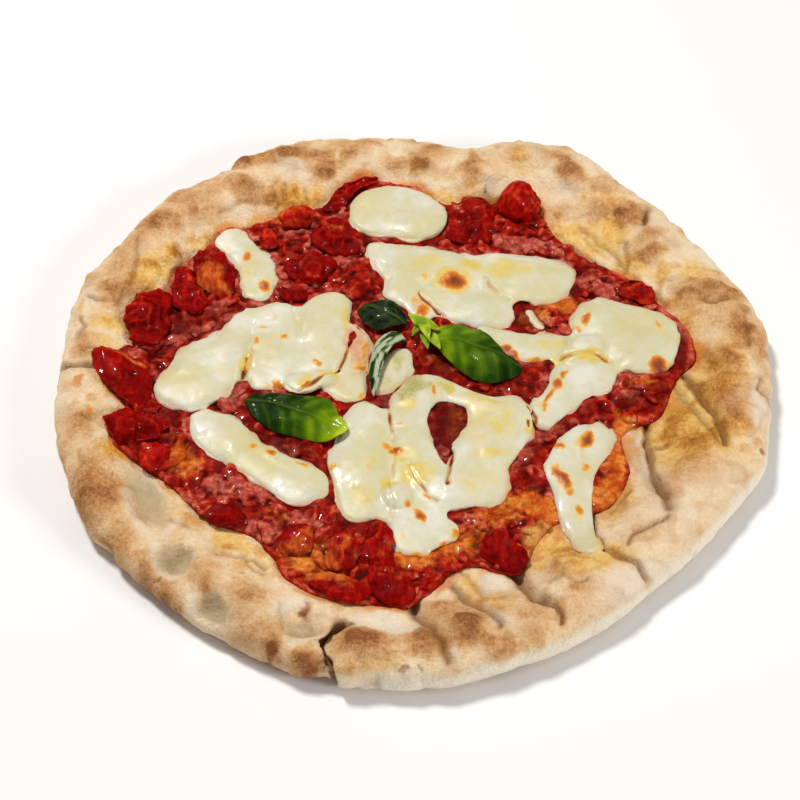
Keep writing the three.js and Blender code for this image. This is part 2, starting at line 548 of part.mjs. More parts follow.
function sauce() {
  const loop = smoothLoop(SAUCE_OUTLINE, SAUCE_MESH.step);
  const rest = (x, y) => bedHeight(x, y) + GAP;
  const over = (x, y) => {
    const bank = SAUCE.edge + (SAUCE.thick - SAUCE.edge) * ease(0, SAUCE.bank, loopDistance(loop, x, y));
    const lump = SAUCE.lump * Math.max(0, bumps(x, y, SAUCE.lumpSize, 5)) * ease(0, 4, openSauce(x, y));
    return rest(x, y) + bank + lump;
  };
  const body = slab('sauce', [loop], {
    top: 1,
    over,
    rings: [{ inset: 0, at: (x, y) => rest(x, y) + 0.3 }, { inset: 0.8, at: rest }],
    pitch: SAUCE_MESH.pitch,
    below: SAUCE_MESH.below,
    keep: (x, y, i, j) => openSauce(x, y) > 0 || (i % 3 === 0 && j % 2 === 0),
  });
  clearBed(body.points, body.sole);
  addMesh('sauce', body, RED_SAUCE);
}

// ---- assembly, from the bottom up ---------------------------------------------------------------
crust();
sauce();
Object.entries(MOZZARELLA).forEach(([name, { at, hole, thick }], i) => {
  softPiece(`mozzarella_${name}`, MELTED, { at, hole, high: thick, seed: 10 + i }, CHEESE, CHEESE_MESH);
});
Object.entries(TOMATOES).forEach(([name, { at, high }], i) => {
  softPiece(`tomato_${name}`, RED_FLESH, { at, high, seed: 40 + i }, TOMATO, TOMATO_MESH);
});
Object.entries(BASIL).forEach(([name, shape], i) => leaf(`basil_${name}`, shape, 70 + i));

export default pizza;
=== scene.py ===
"""Looks of a whole margherita pizza: a puffed, toasted crust, crushed tomato sauce, melted mozzarella,
chunks of tomato and basil leaves. Sizes in the lists and functions are millimetres, and a piece's mesh
is written in metres."""
import math

import bpy
import numpy as np
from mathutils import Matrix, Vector
from mathutils.bvhtree import BVHTree


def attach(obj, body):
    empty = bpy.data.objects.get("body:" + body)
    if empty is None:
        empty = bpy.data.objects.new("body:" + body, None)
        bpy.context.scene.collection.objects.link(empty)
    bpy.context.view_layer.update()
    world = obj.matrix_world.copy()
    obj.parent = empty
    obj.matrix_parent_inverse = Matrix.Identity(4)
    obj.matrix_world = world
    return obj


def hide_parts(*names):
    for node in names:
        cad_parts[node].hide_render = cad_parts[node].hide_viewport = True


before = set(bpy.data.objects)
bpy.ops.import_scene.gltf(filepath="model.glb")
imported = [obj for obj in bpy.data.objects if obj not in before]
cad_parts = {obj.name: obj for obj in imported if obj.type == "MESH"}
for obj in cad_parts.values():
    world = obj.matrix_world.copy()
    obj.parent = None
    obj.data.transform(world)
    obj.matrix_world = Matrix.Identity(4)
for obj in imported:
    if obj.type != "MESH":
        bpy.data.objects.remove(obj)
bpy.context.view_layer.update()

MM = 0.001
MIDDLE = np.array([0.0, 1.7])      # the marks are placed from here, the middle of the topping
ABOVE = 60                         # a height over the whole pizza, which lines are dropped from

# ---- marks on the dough, seen from above ----
# A mark is x, y, half width, half height, strength and, where it is turned, its turn in degrees.
TOASTED = [
    (2, 123, 7, 4, .75), (-9, 124, 8, 4, .6), (26, 121, 5, 8, .75, -10), (24, 112, 5, 5, .5),
    (71, 118, 11, 5.5, .9, -55), (84, 108, 6, 5, .5), (62, 96, 6, 6, .45), (95, 90, 9, 6, .95, -35),
    (84, 94, 7, 6, .5), (58, -92, 7, 4, .5, -20), (104, 66, 7, 4.5, .85), (104, 75, 6, 5, .6),
    (124, 39, 12, 5, .6, -8), (-106, 67, 4, 3, .8), (133, 28, 8, 12, .35), (138, 45, 5, 7, .3),
    (145, 8, 4, 17, .5), (120, 8, 6, 6, .6), (127, 2, 6, 8, .6), (126, -14, 7, 9, .6, 10),
    (130, -26, 6, 9, .6), (108, -25, 6, 6, .8), (104, -34, 5, 5, .8), (112, -42, 6, 6, .7),
    (110, -56, 12, 11, .5), (80, -72, 6, 5, .35), (90, -86, 7, 4, .4, 20), (56, -104, 8, 6, .4),
    (62, -113, 5, 4, .4), (57, -120, 5, 4, .3), (18, -129, 9, 7, .9, -40), (8, -119, 6, 6, .6),
    (31, -137, 7, 5, .8), (42, -124, 4, 3, .6), (44, -131, 5, 3, .5), (26, -117, 4, 3, .3),
    (2, -134, 8, 7, .85), (-18, -135, 9, 7, .9), (-10, -142, 6, 3, .6), (-41, -142, 4, 4, .8),
    (-52, -136, 5, 4, .5), (-62, -116, 9, 6, .5, -30), (-60, -130, 10, 5, .45, -25),
    (-80, -106, 9, 6, .5, -40), (-95, -114, 7, 6, .9, -45), (-102, -106, 6, 5, .8),
    (-112, -92, 9, 7, .6, -50), (-126, -66, 9, 13, 1.1, 20), (-131, -61, 4, 4, .8), (-126, -54, 5, 4, .6),
    (-137, -34, 6, 8, .5), (-141, 10, 4, 6, .7), (-128, 42, 8, 8, .7), (-129, 60, 6, 13, .5, -15),
    (-115, 83, 10, 8, .85, 40), (-106, 98, 9, 8, .55), (-98, 90, 8, 6, .5), (-80, 107, 9, 6, .9),
    (-92, 108, 8, 7, .5), (-82, 126, 7, 6, .8), (-60, 129, 12, 6, .85, 15), (-47, 128, 7, 5, .8),
    (-43, 119, 5, 3.4, .75), (-25, 118, 7, 3, .6), (8, 130, 7, 5, .5), (-30, 134, 12, 6, .4),
    (44, 126, 8, 6, .4), (-55, 105, 9, 4, .6), (-66, 107, 3, 6, .6), (34, 105, 4, 4, .7),
    (-141, -40, 5, 16, .4), (12, 119, 10, 4, .3), (131, -2, 6, 12, .7), (137, 20, 5, 12, .7),
    (127, -18, 5, 9, .7), (28, -126, 7, 6, .5), (45, -123, 6, 5, .6), (109, -26, 5, 4, .7),
    (112, -44, 8, 5, .5), (135, 38, 7, 4, .7), (118, 40, 5, 3, .8),
]
SCORCHED = [
    (-52, -136, 2.6, 2.6, 1), (-42, -122, 1.6, 1.8, .9), (104, 88, 1.4, 5, .8, -15),
    (-4, -146, 2.4, 1.4, .7), (1.5, -145, 1.6, 1.2, .7), (137, -46, 1.2, 1.6, .8),
    (-65, -105, 1.8, 1.4, .6), (-97, -106, 2.2, 1.6, .7), (2, 123, 4, 2.4, .25), (-43, 119, 3, 1.8, .3),
    (104, 66, 4.5, 2.4, .35), (126, 37, 5, 2, .35), (26, 119, 2.4, 5, .2), (-98, -112, 3, 3, .6),
    (-90, -118, 4, 2.4, .6, -40), (-39, -143, 2.4, 2.4, .8), (34, -137, 3, 2.4, .4),
    (12, -114, 1.6, 1.4, .4),
]
GOLDEN = [
    (-117, 52, 6, 11, 1.2, -10), (-109, 63, 5, 6, 1.2), (-74, 89, 7, 4, .8, 30), (-56, 106, 13, 7, 1, 15),
    (10, 106, 13, 4.5, 1, -20), (84, 80, 10, 9, 1.3, -45), (95, 62, 8, 9, .8), (108, 54, 4, 7, .9),
    (108, -26, 13, 24, 1.3), (120, -30, 6, 18, 1.2, 10), (116, 20, 6, 16, .9), (124, -6, 10, 16, .9),
    (134, 4, 6, 14, .6), (50, -86, 13, 9, 1, -20), (68, -98, 12, 7, 1.1, 10), (47, -96, 5, 5, 1),
    (-72, -86, 12, 5, .9, -30), (-62, -98, 8, 7, .6, -30), (-83, -77, 8, 4, .6, -35),
    (21, -105, 4, 6, .9, 10), (-95, 76, 7, 5, .8, 40), (78, -62, 7, 12, .7), (-131, 24, 7, 4, 1.1),
    (-130, 12, 6, 4, .9), (49, 126, 4, 7, .7), (30, -116, 7, 5, .7), (-121, -45, 6, 5, 1.2),
    (128, -38, 5, 14, .8), (-72, 128, 5, 6, .6), (67, 84, 8, 8, 1.2, -40), (120, 52, 8, 8, .8),
    (-116, -62, 3, 7, .5, 20), (-12, -146, 12, 3, .6), (86, 100, 12, 5, .5, -20), (-130, -8, 5, 10, .5),
    (28, 111, 6, 5, .5), (-85, 84, 7, 4, .7, 30), (125, 30, 6, 8, .4),
]
FLOURED = [
    (98, -76, 20, 15, .5, 30), (-11, -125, 12, 5, 1, -8), (68, 108, 9, 6, .5, -30),
    (118, -62, 14, 10, .4, 30), (82, -108, 14, 8, .8, 35), (-110, -52, 5, 10, .6, 30),
    (-128, -40, 3, 7, .5, -30), (-124, -16, 4, 6, .8), (140, -24, 5, 12, .8), (-60, 120, 11, 5, .7),
    (-8, 136, 8, 5, .5), (-25, 125, 6, 7, .5), (30, -106, 5, 7, .8, 30), (30, -125, 3, 9, .7, 40),
    (14, -140, 3, 7, .6, 35), (-119, 66, 3, 10, .3, -20), (-140, 40, 5, 7, .5), (35, 112, 5, 6, .5),
    (92, -44, 3.4, 12, .4), (128, 68, 10, 8, .5, -45), (110, 85, 9, 8, .6, -50), (-97, 84, 6, 4, .5),
    (60, 116, 5, 6, .5), (-122, 34, 4, 8, .6), (-40, -133, 8, 2.4, .6, 20), (-49, -120, 4, 3, .9, 30),
    (-110, -56, 6, 3, .6, -60), (74, -111, 12, 6, .7, 30),
]
# Grey hollows in the dough: their grey flour, and painted shade in the dents.
GREY_SHADED_HOLLOWS = [
    (-106, -65, 15, 7, .9, -62), (-92, -97, 6.5, 6, 1), (-76, -120, 7, 5, 1, -50), (-43, -129, 5, 4, 1),
    (-12, -122, 6, 2, .3), (124, 40, 8, 3, .3), (-36, -124, 3, 2, .5),
]
# Pale rims below the grey hollows, each a path: painted light where the lower rims catch the lamp, with some
# flour.
LIT_RIMS = [
    [(-113, -66), (-110, -76), (-105, -84), (-97, -86), (-93, -78)],
    [(-99, -92), (-98, -100), (-93, -105), (-87, -102), (-85, -96)],
    [(-84, -115), (-82, -122), (-76, -128), (-70, -129)], [(-52, -124), (-48, -119), (-43, -119)],
]
STAINED = [
    (-138, -11, 1.2, 4, 1.5, -25), (-133, -26, 1, 1.8, 1.5), (110, 38, 4, 2.6, 1), (106, 50, 2.4, 4, .8),
    (-130, -6, 3, 6, .4), (-123, -46, 3, 3, .6), (-97, -60, 6, 3, .9, -45), (-86, -76, 6, 3, .8, -30),
    (10, -103, 8, 4, .8, 20), (46, -90, 4, 7, .8), (84, -38, 5, 12, 1), (80, -58, 7, 10, 1),
    (74, -68, 4, 5, 1), (58, -76, 12, 5, 1, 10), (-50, -104, 5, 4, .7), (-37, -108, 5, 3, .5),
    (-42, -121, 2.4, 2, 1), (106, -12, 4, 12, .9, 10), (-100, 76, 5, 4, .5, 40), (-70, 94, 8, 4, .8, 30),
    (-52, 100, 9, 3, .8, 10), (60, 88, 5, 5, .7), (72, 76, 6, 3, .6, -40), (-126, 40, 2, 10, .4),
    (-60, -90, 4, 4, .8), (118, -14, 3, 10, .7, 15), (108, -30, 5, 8, .5), (134, -46, 3, 8, .4),
    (55, -82, 4, 4, .9),
]
# The strength of a swelling or hollow is its height or depth.
SWELLINGS = [
    (-20, -136, 8, 7, 1.5), (2, -135, 8, 7, 1.5), (18, -129, 9, 7, 1.5, -40), (8, -118, 6, 6, 1.2),
    (31, -137, 7, 6, 1), (39, -125, 7, 6, 1), (29, -103, 5, 9, 1.3, 20), (56, -100, 9, 10, 1.2),
    (62, -114, 8, 6, 1), (-62, -118, 10, 7, 1.5, -30), (-80, -104, 10, 6, 1.2, -40),
    (-128, -66, 7, 12, 1.6, 20), (-112, -92, 9, 6, 1.2, -50), (-126, -42, 3.4, 9, 1.5, -30),
    (-137, -30, 5, 12, 1, 5), (-138, -12, 5, 7, 1.2), (-137, 14, 6, 8, 1.2), (-133, 27, 7, 5, 1.2),
    (-127, 60, 8, 16, 1.6, -15), (-117, 54, 5, 11, 1.5, -12), (71, 119, 11, 6, 1.4, -55),
    (95, 91, 8, 5, 1.2, -35), (84, 95, 6, 6, 1), (104, 67, 7, 5, 1.3), (104, 76, 6, 4, 1),
    (126, 42, 13, 6, 1.7, -10), (134, 26, 7, 9, 1.2), (126, 5, 7, 8, 1.2), (129, -18, 6, 12, 1.3, 5),
    (108, -30, 8, 14, 1.6), (109, -55, 9, 8, .9), (85, -77, 8, 6, 1.2, 20), (28, 121, 6, 8, 1.2),
    (4, 124, 7, 5, 1.1), (-10, 125, 7, 5, 1), (-43, 121, 6, 5, 1), (-60, 130, 12, 6, 1.2, 15),
    (-80, 109, 9, 7, 1.4), (-82, 127, 7, 6, 1), (-105, 100, 9, 8, 1.2), (-113, 86, 8, 6, 1.2),
    (48, 129, 11, 6, 1.2), (12, 131, 8, 6, .9), (-27, 134, 12, 6, 1), (86, 108, 7, 6, .9),
    (66, 84, 3, 8, 1.2, 45), (80, 78, 3, 12, 1.3, 40), (99, 56, 3, 8, 1.3, 10), (-109, 64, 6, 6, 1.7),
    (-56, 106, 6, 4, 1.2), (-66, 107, 4, 5, 1.2), (-47, 107, 5, 4, 1), (84, -46, 6, 12, 1),
    (70, -108, 8, 6, .8, 20),
]
HOLLOWS = [
    (-104, -72, 15, 6.5, 2.4, -53), (-92, -98, 8, 7, 3.6), (-76, -120, 9, 6, 2.8, -35),
    (-44, -126, 7.5, 6.5, 3.6), (-11, -125, 13, 4.5, 2, -8), (-27.5, -127, 3, 2.4, 1.4, 10),
    (27, -110, 6, 3, 1.2, -40), (-60, 120, 10, 5, 1.4), (68, 107, 10, 5, 1.6, -30), (36, 112, 6, 6, 1.2),
    (-25, 125, 5, 6, 1), (117, 54, 5, 8, 1.2, 10), (-97, 84, 7, 4, 1, 20), (-128, 6, 5, 6, 1.2),
    (89, 84, 4, 8, 1.2, 40), (112, 20, 5, 9, 1), (140, -22, 4, 10, 1.2), (-14, 116, 10, 3, .8),
]
# Sharp folds and cracks in the dough: a path, its width and its depth.
CRACKS = [
    ([(69, -72), (69, -82), (71, -91), (77, -97), (84, -100), (87, -106)], 1, 1.8),
    ([(97, -80), (90, -84), (84, -87), (80, -92)], 0.8, 1.3), ([(85, -62), (80, -67), (76, -73)], 0.8, 1.1),
    ([(37, -99), (40, -106), (44, -115), (48, -117)], 2, 2.4),
    ([(47, -117), (52, -120), (54, -126)], 0.9, 2.2),
    ([(50, -108), (56, -106), (60, -110), (64, -109)], 0.8, 0.8),
    ([(14, -105), (17, -110), (21, -115), (27, -122), (31, -129)], 1.2, 1.5),
    ([(-1, -113), (0, -120), (5, -127), (9, -134), (12, -143)], 1.5, 1.8),
    ([(97, -39), (102, -39)], 0.8, 1.2), ([(105, 94), (103, 88), (102, 83)], 1.1, 1.8),
    ([(143, -8), (141, -14), (145, -19)], 0.9, 1.2), ([(-142, 39), (-137, 35), (-134, 35)], 0.8, 1.2),
    ([(-143, 26), (-141, 20), (-143, 14)], 0.8, 1.2), ([(-148, -1), (-141, -2), (-133, -2)], 1.3, 2.6),
    ([(-138, 48), (-133, 43), (-130, 36)], 0.8, 0.7),
    ([(-27, -126), (-31, -130), (-35, -134), (-33, -139), (-30.5, -143), (-29, -149)], 1.4, 3),
    ([(-40, -117), (-41, -124)], 0.9, 1.3), ([(-77, -94), (-68, -96), (-62, -95), (-58, -101)], 0.9, 1.3),
    ([(-66, -94), (-64, -99), (-58, -104)], 0.7, 1), ([(-96, -76), (-90, -80), (-84, -82)], 0.7, 0.8),
    ([(94, -24), (94, -37), (95, -52), (97, -68)], 1.5, 2.8), ([(95, -56), (97, -66), (98, -75)], 2.2, 1.6),
    ([(89, -30), (90, -50), (93, -66)], 2.4, 0.5),
    ([(112, -1), (117, -12), (120, -22), (123, -33), (124, -43)], 1.4, 2.4),
    ([(105, 4), (109, -10), (114, -22), (118, -34), (121, -43)], 1, 1),
    ([(65, 78), (74, 74), (80, 67), (87, 60)], 1.1, 1.6), ([(96, 50), (104, 46), (108, 38)], 1, 1),
    ([(74, 88), (82, 78), (90, 68), (93, 60)], 1, 1), ([(90, 56), (94, 64), (94, 74)], 0.9, 0.9),
    ([(-88, 92), (-79, 99), (-66, 102)], 1.1, 0.8), ([(-123, 72), (-122, 60), (-124, 46)], 1.2, 1),
    ([(-106, 72), (-103, 64), (-107, 56)], 0.8, 0.8), ([(122, 36), (128, 33), (134, 36)], 0.9, 1.3),
    ([(-134, -48), (-131, -55), (-134, -64)], 0.8, 0.7), ([(-61, 113), (-60, 106), (-63, 100)], 0.8, 0.9),
    ([(-51, 110), (-50, 103)], 0.8, 0.8), ([(33, 109), (36, 103)], 0.9, 1),
    ([(139, 34), (141, 22), (140, 10)], 0.9, 1.1), ([(115, -12), (122, -6), (126, -8)], 0.8, 0.7),
    ([(-50, -119), (-49, -130), (-42, -133), (-36, -129)], 0.8, 0.5),
    ([(17, -98), (26, -112), (33, -113)], 0.9, 0.8), ([(58, -93), (66, -97), (72, -101)], 0.8, 0.5),
]
# The split in the front edge, a path outwards.
SPLIT = [(-24, -127), (-31, -130), (-35, -134), (-33, -139), (-30.5, -143), (-29, -149)]

# ---- marks on the cheese ----
BROWNED = [
    (17, 51, 4.4, 4.2, 1), (14, 50, 3, 3, .8), (4, 52, 2.2, 3.2, .34), (38, 54, 4, 2.4, .24),
    (-1, 40, 2.4, 3.4, .36), (3, 33, 2.4, 4, .75), (73, 28, 1.7, 3.6, .72), (70, 23, 1.2, 2, .5, 20),
    (104, 24, 1.5, 2.6, .4, 20), (101, 1.5, 2.8, 3.4, 1), (38, 12, 2.6, 2.4, .95),
    (41.5, 9, 3, 2, .95, -40), (50, 6, 2.6, 2, .6), (62, -3, 1.2, 3, .7, -10), (59, -9, 2, 3.2, .9),
    (55.5, -15, 1.3, 4, .7, -30), (53, -21, 1.2, 3, .5, -20), (68.5, -38, 2.8, 4, 1, -25),
    (59, -41, 2.2, 1.8, .7), (58, -57, 2, 6.2, .92, 25), (67, -51, 1.8, 2, .5), (61.5, -65, 1.6, 2, .65),
    (64, -73, 1.6, 2.2, .6), (-82, 0, 3.4, 4, .2), (-66, 24, 1.7, 1.5, .42), (-57, 19, 2.2, 1.7, .46),
    (-67, 16, 1.2, 2.4, .44), (-69, 9, .9, 3, .4), (-57, -9, 2, 2.4, .72), (-62, -9, 4, 2, .26),
    (-62, 30, 4, 3, .2), (-42, 3, 2, 1.8, .7), (-45, -9, 3.2, 1.2, .85, 38), (-22, 12, 1.6, 6.5, .5, -8),
    (-24, 2, 2.6, 1.6, .66, 20), (-23, -14, 1.6, 2, .4), (-65, -41, 1.9, 1.4, .5),
    (-58, -44, 2.6, 1.4, .7, -20), (-45, -51, 3, 1.2, .45, -15), (-75.5, 67, 1.8, 2.6, .7),
    (-67, 49, 2.4, 3.8, .95), (-25, 4, 1.4, 2.4, .4), (-8, -44, 3.2, 1.8, .8, -35), (-12, -41, 2, 2, .5),
    (-33, -52, 2.4, 2, .42), (-20, -53, 1.6, 1.4, .3), (-8, -30, 2, .8, .5), (1, -75, 1.9, 3.4, .85, 24),
    (-3, -70, 1.4, 1.6, .6), (10.5, -89, 2.4, 2.2, .85, -20), (15, -95, 2.4, 2, .9), (2, -95, 5, 2, .7),
    (15, -84, 2, 3, .5), (-5, -86, 1.6, 1.6, .3), (8, -97, 2, 1.6, .7), (70, -88, 1.6, 2.4, .3),
    (7, -12, .9, 2.2, .6), (34, -32, 1.8, 2.2, .24), (5, -66, 3, .8, .5, -48), (-48, 38, 1.2, 1.2, .25),
]
OILED = [
    (17, 51, 7.5, 7.5, 1), (25, 61, 6, 4, .95), (38, 58, 14, 6, .66), (28, -26, 14, 14, .62),
    (5, 62, 9, 6, .6), (-9, 46, 3, 4, .5), (-30, 30, 3, 6, .8), (0, -55, 7, 5, 1), (-11, -60, 4, 4, 1),
    (-4, -46, 6, 4, .7), (33, -32, 3, 3, .95), (46, -32, 3, 3, .8), (30, -45, 9, 3, .75, 6),
    (12, -10, 6, 3, .7, -30), (28, -17, 13, 3, .7, -14), (-3, -20, 4, 4, .8), (7, -34, 3, 10, .4),
    (-22, -66, 6, 6, .6), (-20, -50, 8, 4, .45), (55, 5, 7, 3, .9), (71, 7, 10, 2.4, 1), (60, 14, 9, 4, .6),
    (80, 16, 5, 5, .3), (-62, 10, 7, 12, .35), (-38, 12, 5, 9, .4), (-72, 4, 2, 6, .9),
    (-36, -3, 4, 2.4, .9), (-46, -8, 5, 3, .7, 30), (-90, -12, 10, 5, .25), (-60, -46, 12, 3, .4, -30),
    (64, -46, 4, 8, .3), (3, -68, 4, 4, .5), (-75, 58, 4, 6, .45), (-66, 50, 4, 5, .6), (70, -90, 4, 6, .5),
    (62, -74, 3, 5, .4), (40, -52, 5, 4, .55), (20, -62, 6, 4, .5), (26, -56, 9, 6, .5),
    (-40, 30, 6, 6, .2), (-10, 100, 8, 4, .2), (-1, -78, 4, 5, .3), (52, -20, 4, 4, .5),
    (-26, -40, 4, 8, .2),
]
OLIVE = [
    (-2, -11, 5, 8, 1, -25), (4, -9, 4, 4, .7), (12, -11, 6, 2.4, .6, -30), (29, -16, 9, 2, .5, -15),
    (-7, 3, 3, 9, .7), (-12, -6, 4, 5, .6), (-5, -16, 3, 3, .8),
]
PINKED = [
    (-24, 12, 5, 14, 1), (-27, 19, 3, 6, 1.3), (-32, -8, 7, 5, .4), (1, 38, 4, 6, .7), (-20, 60, 3, 8, .5),
    (5, -95, 10, 3, .7), (-8, 78, 10, 2.5, .45), (-70, 2, 1.5, 14, .6), (52, 30, 4, 8, .5),
    (-62, 10, 7, 14, .34), (-84, 66, 3, 8, .6, 20), (-60, 44, 4, 5, .6), (-48, -4, 6, 3, .3),
    (-12, -20, 3, 2, .4), (-30, -36, 3, 10, .3), (-18, 55, 4, 8, .5, 30), (-62, 32, 6, 4, .3),
    (66, -88, 4, 6, .3),
]
# Where two pieces of cheese meet, or one has folded: a path, its width, its depth and how dark it is; the
# dark seams are painted shade in the gap, the paler ones a line of oil.
SEAMS = [
    ([(-70, 27), (-71, 15), (-71.5, 7)], 1.3, .9, .2), ([(-71.5, 7), (-72, 0)], 1, 1.2, .5),
    ([(-72, 0), (-73, -5), (-75, -11)], 1.1, 2.2, 1), ([(-53, 36), (-51, 28), (-50, 20)], 1.2, .7, .25),
    ([(-27, 24), (-28, 17)], 1.6, .6, .2), ([(-28, 17), (-29, 12), (-29.5, 7), (-32, 0)], 1, 1.6, .75),
    ([(-32, 0), (-38, -4), (-44, -9), (-49, -13)], 1.3, 1.5, .75),
    ([(-12, -18), (-10.5, -26), (-10, -32)], 1.1, 1.7, .95),
    ([(-10, -32), (-9, -50), (-10, -62), (-10, -76)], 1.2, .6, .3),
    ([(-4, -50), (0, -57), (4, -65), (8, -69)], .9, .8, .6),
    ([(30, 53), (31, 48), (35, 44), (40, 41)], 1, 1.5, .45),
    ([(2, 45), (6, 38), (11, 31), (14, 26)], 1, 1.5, .8),
    ([(60, 6), (68, 8.5), (74, 8), (82, 5)], 1.4, 1.5, .6),
    ([(45, -18), (48, -26), (48, -35)], 1, 1.3, .75), ([(13, -44), (12.5, -60)], 1.3, 3.6, 1),
    ([(46, -28), (46, -31)], .5, .8, .8), ([(84, 34), (92, 26), (100, 22)], 1.8, .4, 0),
    ([(62, -30), (64, -46), (62, -60)], 1.6, .4, 0), ([(-80, -28), (-66, -44), (-50, -56)], 2, .35, 0),
    ([(36, 66), (50, 62), (62, 58)], 1.5, .35, 0), ([(-22, 74), (-14, 62), (-12, 52)], 1.1, .4, 0),
]
# Cheese that fills a gap between the pieces of a group: x, y, half width, half height, the height of its
# middle and half its depth.
BRIDGES = {
    "left": [(-47, -8, 8, 6, 12.0, 1.5), (-39, -5, 6, 5, 12.0, 1.5)], "middle": [(-7, -66, 6, 6, 12.2, 1.7)],
    "right": [(70, 8, 9, 6, 12.0, 1.6), (73, 13, 8, 6, 12.4, 2.0)],
}


# ---- numbers over a surface ----
def ease(low, high, value):
    """0 below low, 1 above high and smooth between them."""
    t = np.clip((value - low) / (high - low), 0, 1)
    return t * t * (3 - 2 * t)


def lattice(cell, seed):
    """A value from -1 to 1 for each whole-number cell."""
    h = cell[..., 0] * 73856093 ^ cell[..., 1] * 19349663 ^ cell[..., 2] * 83492791 ^ seed * 2654435761
    h = (h ^ (h >> 13)) & 0xFFFFFFFF
    h = (h * 1274126177) & 0xFFFFFFFF
    h = h ^ (h >> 16)
    return (h & 0xFFFF) / 32767.5 - 1


def noise(points, size, seed=0):
    """Smooth noise from -1 to 1 at points in millimetres, with features about `size` across."""
    p = np.asarray(points, float)
    if p.shape[1] == 2:
        p = np.column_stack([p, np.zeros(len(p))])
    p = p / size + 31.7 * seed
    cell = np.floor(p).astype(np.int64)
    f = p - cell
    f = f * f * f * (f * (f * 6 - 15) + 10)
    total = np.zeros(len(p))
    for corner in np.ndindex(2, 2, 2):
        weight = np.prod(np.where(corner, f, 1 - f), axis=1)
        total += weight * lattice(cell + np.array(corner), seed)
    return total


def bell(distance, width):
    """1 where distance is 0, fading to nothing at about twice the width."""
    return np.exp(-(distance / width) ** 2)


def wandering(xy, reach, size, seed):
    """The points, moved sideways this way and that."""
    return xy + reach * np.column_stack([noise(xy, size, seed), noise(xy, size, seed + 1)])


def path_offset(xy, path):
    """The way from the nearest place on a path to each point."""
    nearest = np.full(xy.shape, np.inf)
    for start, end in zip(path, path[1:]):
        a = np.array(start, float)
        along = np.array(end, float) - a
        t = np.clip((xy - a) @ along / (along @ along), 0, 1)
        offset = xy - a - t[:, None] * along
        closer = np.linalg.norm(offset, axis=1) < np.linalg.norm(nearest, axis=1)
        nearest[closer] = offset[closer]
    return nearest


def path_distance(xy, path):
    return np.linalg.norm(path_offset(xy, path), axis=1)


def ovals(xy, listed, inner, outer):
    """The strongest listed oval at each point, each fading out between two parts of its size."""
    total = np.zeros(len(xy))
    for x, y, half_x, half_y, strength, *turn in listed:
        angle = math.radians(turn[0]) if turn else 0
        c, s = math.cos(angle), math.sin(angle)
        dx, dy = xy[:, 0] - x, xy[:, 1] - y
        d = np.hypot((c * dx + s * dy) / half_x, (c * dy - s * dx) / half_y)
        total = np.maximum(total, strength * (1 - ease(inner, outer, d)))
    return total


def marks(xy, listed, wander=2, edge=0.9):
    """How strongly the listed marks show at each point, with wandering outlines and a soft edge."""
    return ovals(wandering(wandering(xy, wander, 6, 21), 0.4 * wander, 2.2, 23), listed, 1 - edge, 1 + edge)


def domes(xy, listed, wander):
    """The height of the listed swellings at each point, each one a soft dome."""
    return ovals(wandering(xy, wander, 7, 25), listed, 0.15, 1.25)


# ---- meshes ----
MERGE = (bpy.ops.mesh.remove_doubles, {"threshold": 0.01 * MM})


def pick(*objects):
    bpy.ops.object.select_all(action="DESELECT")
    for obj in objects:
        obj.select_set(True)
    bpy.context.view_layer.objects.active = objects[0]


def in_edit_mode(obj, *steps):
    """Runs mesh operators on all of a piece."""
    pick(obj)
    bpy.ops.object.mode_set(mode="EDIT")
    bpy.ops.mesh.select_all(action="SELECT")
    for step, settings in steps:
        step(**settings)
    bpy.ops.object.mode_set(mode="OBJECT")


def read(obj, what="co"):
    """A piece's points, or what else it holds three numbers of for each point."""
    values = np.empty(len(obj.data.vertices) * 3)
    obj.data.vertices.foreach_get(what, values)
    values = values.reshape(-1, 3)
    return values / MM if what == "co" else values


def measured(obj):
    """A piece's points, the way each one faces, and its x and y as the marks give them."""
    p = read(obj)
    return p, read(obj, "normal"), p[:, :2] - MIDDLE


def write(obj, points):
    obj.data.vertices.foreach_set("co", (points * MM).ravel())
    obj.data.update()


def paint(obj, **layers):
    """Stores a number for each point, or one for them all, under each name, for the piece's material."""
    for name, values in layers.items():
        layer = obj.data.attributes.new(name, "FLOAT", "POINT")
        values = np.broadcast_to(np.clip(values, 0, 1), len(obj.data.vertices))
        layer.data.foreach_set("value", values.astype(np.float32))


def neighbours_mean(obj, values, rounds):
    """Each point's value, averaged over its neighbours again and again."""
    edges = np.empty(len(obj.data.edges) * 2, int)
    obj.data.edges.foreach_get("vertices", edges)
    a, b = edges[::2], edges[1::2]
    count = np.bincount(edges, minlength=len(values))
    for _ in range(rounds):
        near = np.bincount(a, values[b], len(values)) + np.bincount(b, values[a], len(values))
        values = 0.4 * values + 0.6 * near / np.maximum(count, 1)
    return values


def swollen(points, outward, lift, spread):
    """The points, moved out of the surface by lift and level by spread."""
    moved = points + outward * lift[:, None]
    moved[:, :2] += outward[:, :2] * spread[:, None]
    return moved


def form_of(node, name, levels):
    """A merged and smoothed copy of a CAD node."""
    pick(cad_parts[node])
    bpy.ops.object.duplicate()
    obj = bpy.context.object
    obj.name = obj.data.name = name
    obj.parent = None
    for key in list(obj.keys()):
        del obj[key]
    bpy.ops.mesh.customdata_custom_splitnormals_clear()
    in_edit_mode(obj, MERGE)
    smooth = obj.modifiers.new("smooth", "SUBSURF")
    smooth.levels = smooth.render_levels = levels
    bpy.ops.object.modifier_apply(modifier="smooth")
    obj.data.materials.clear()
    return obj


def linked(name, data):
    """A new object in the scene."""
    obj = bpy.data.objects.new(name, data)
    bpy.context.scene.collection.objects.link(obj)
    return obj


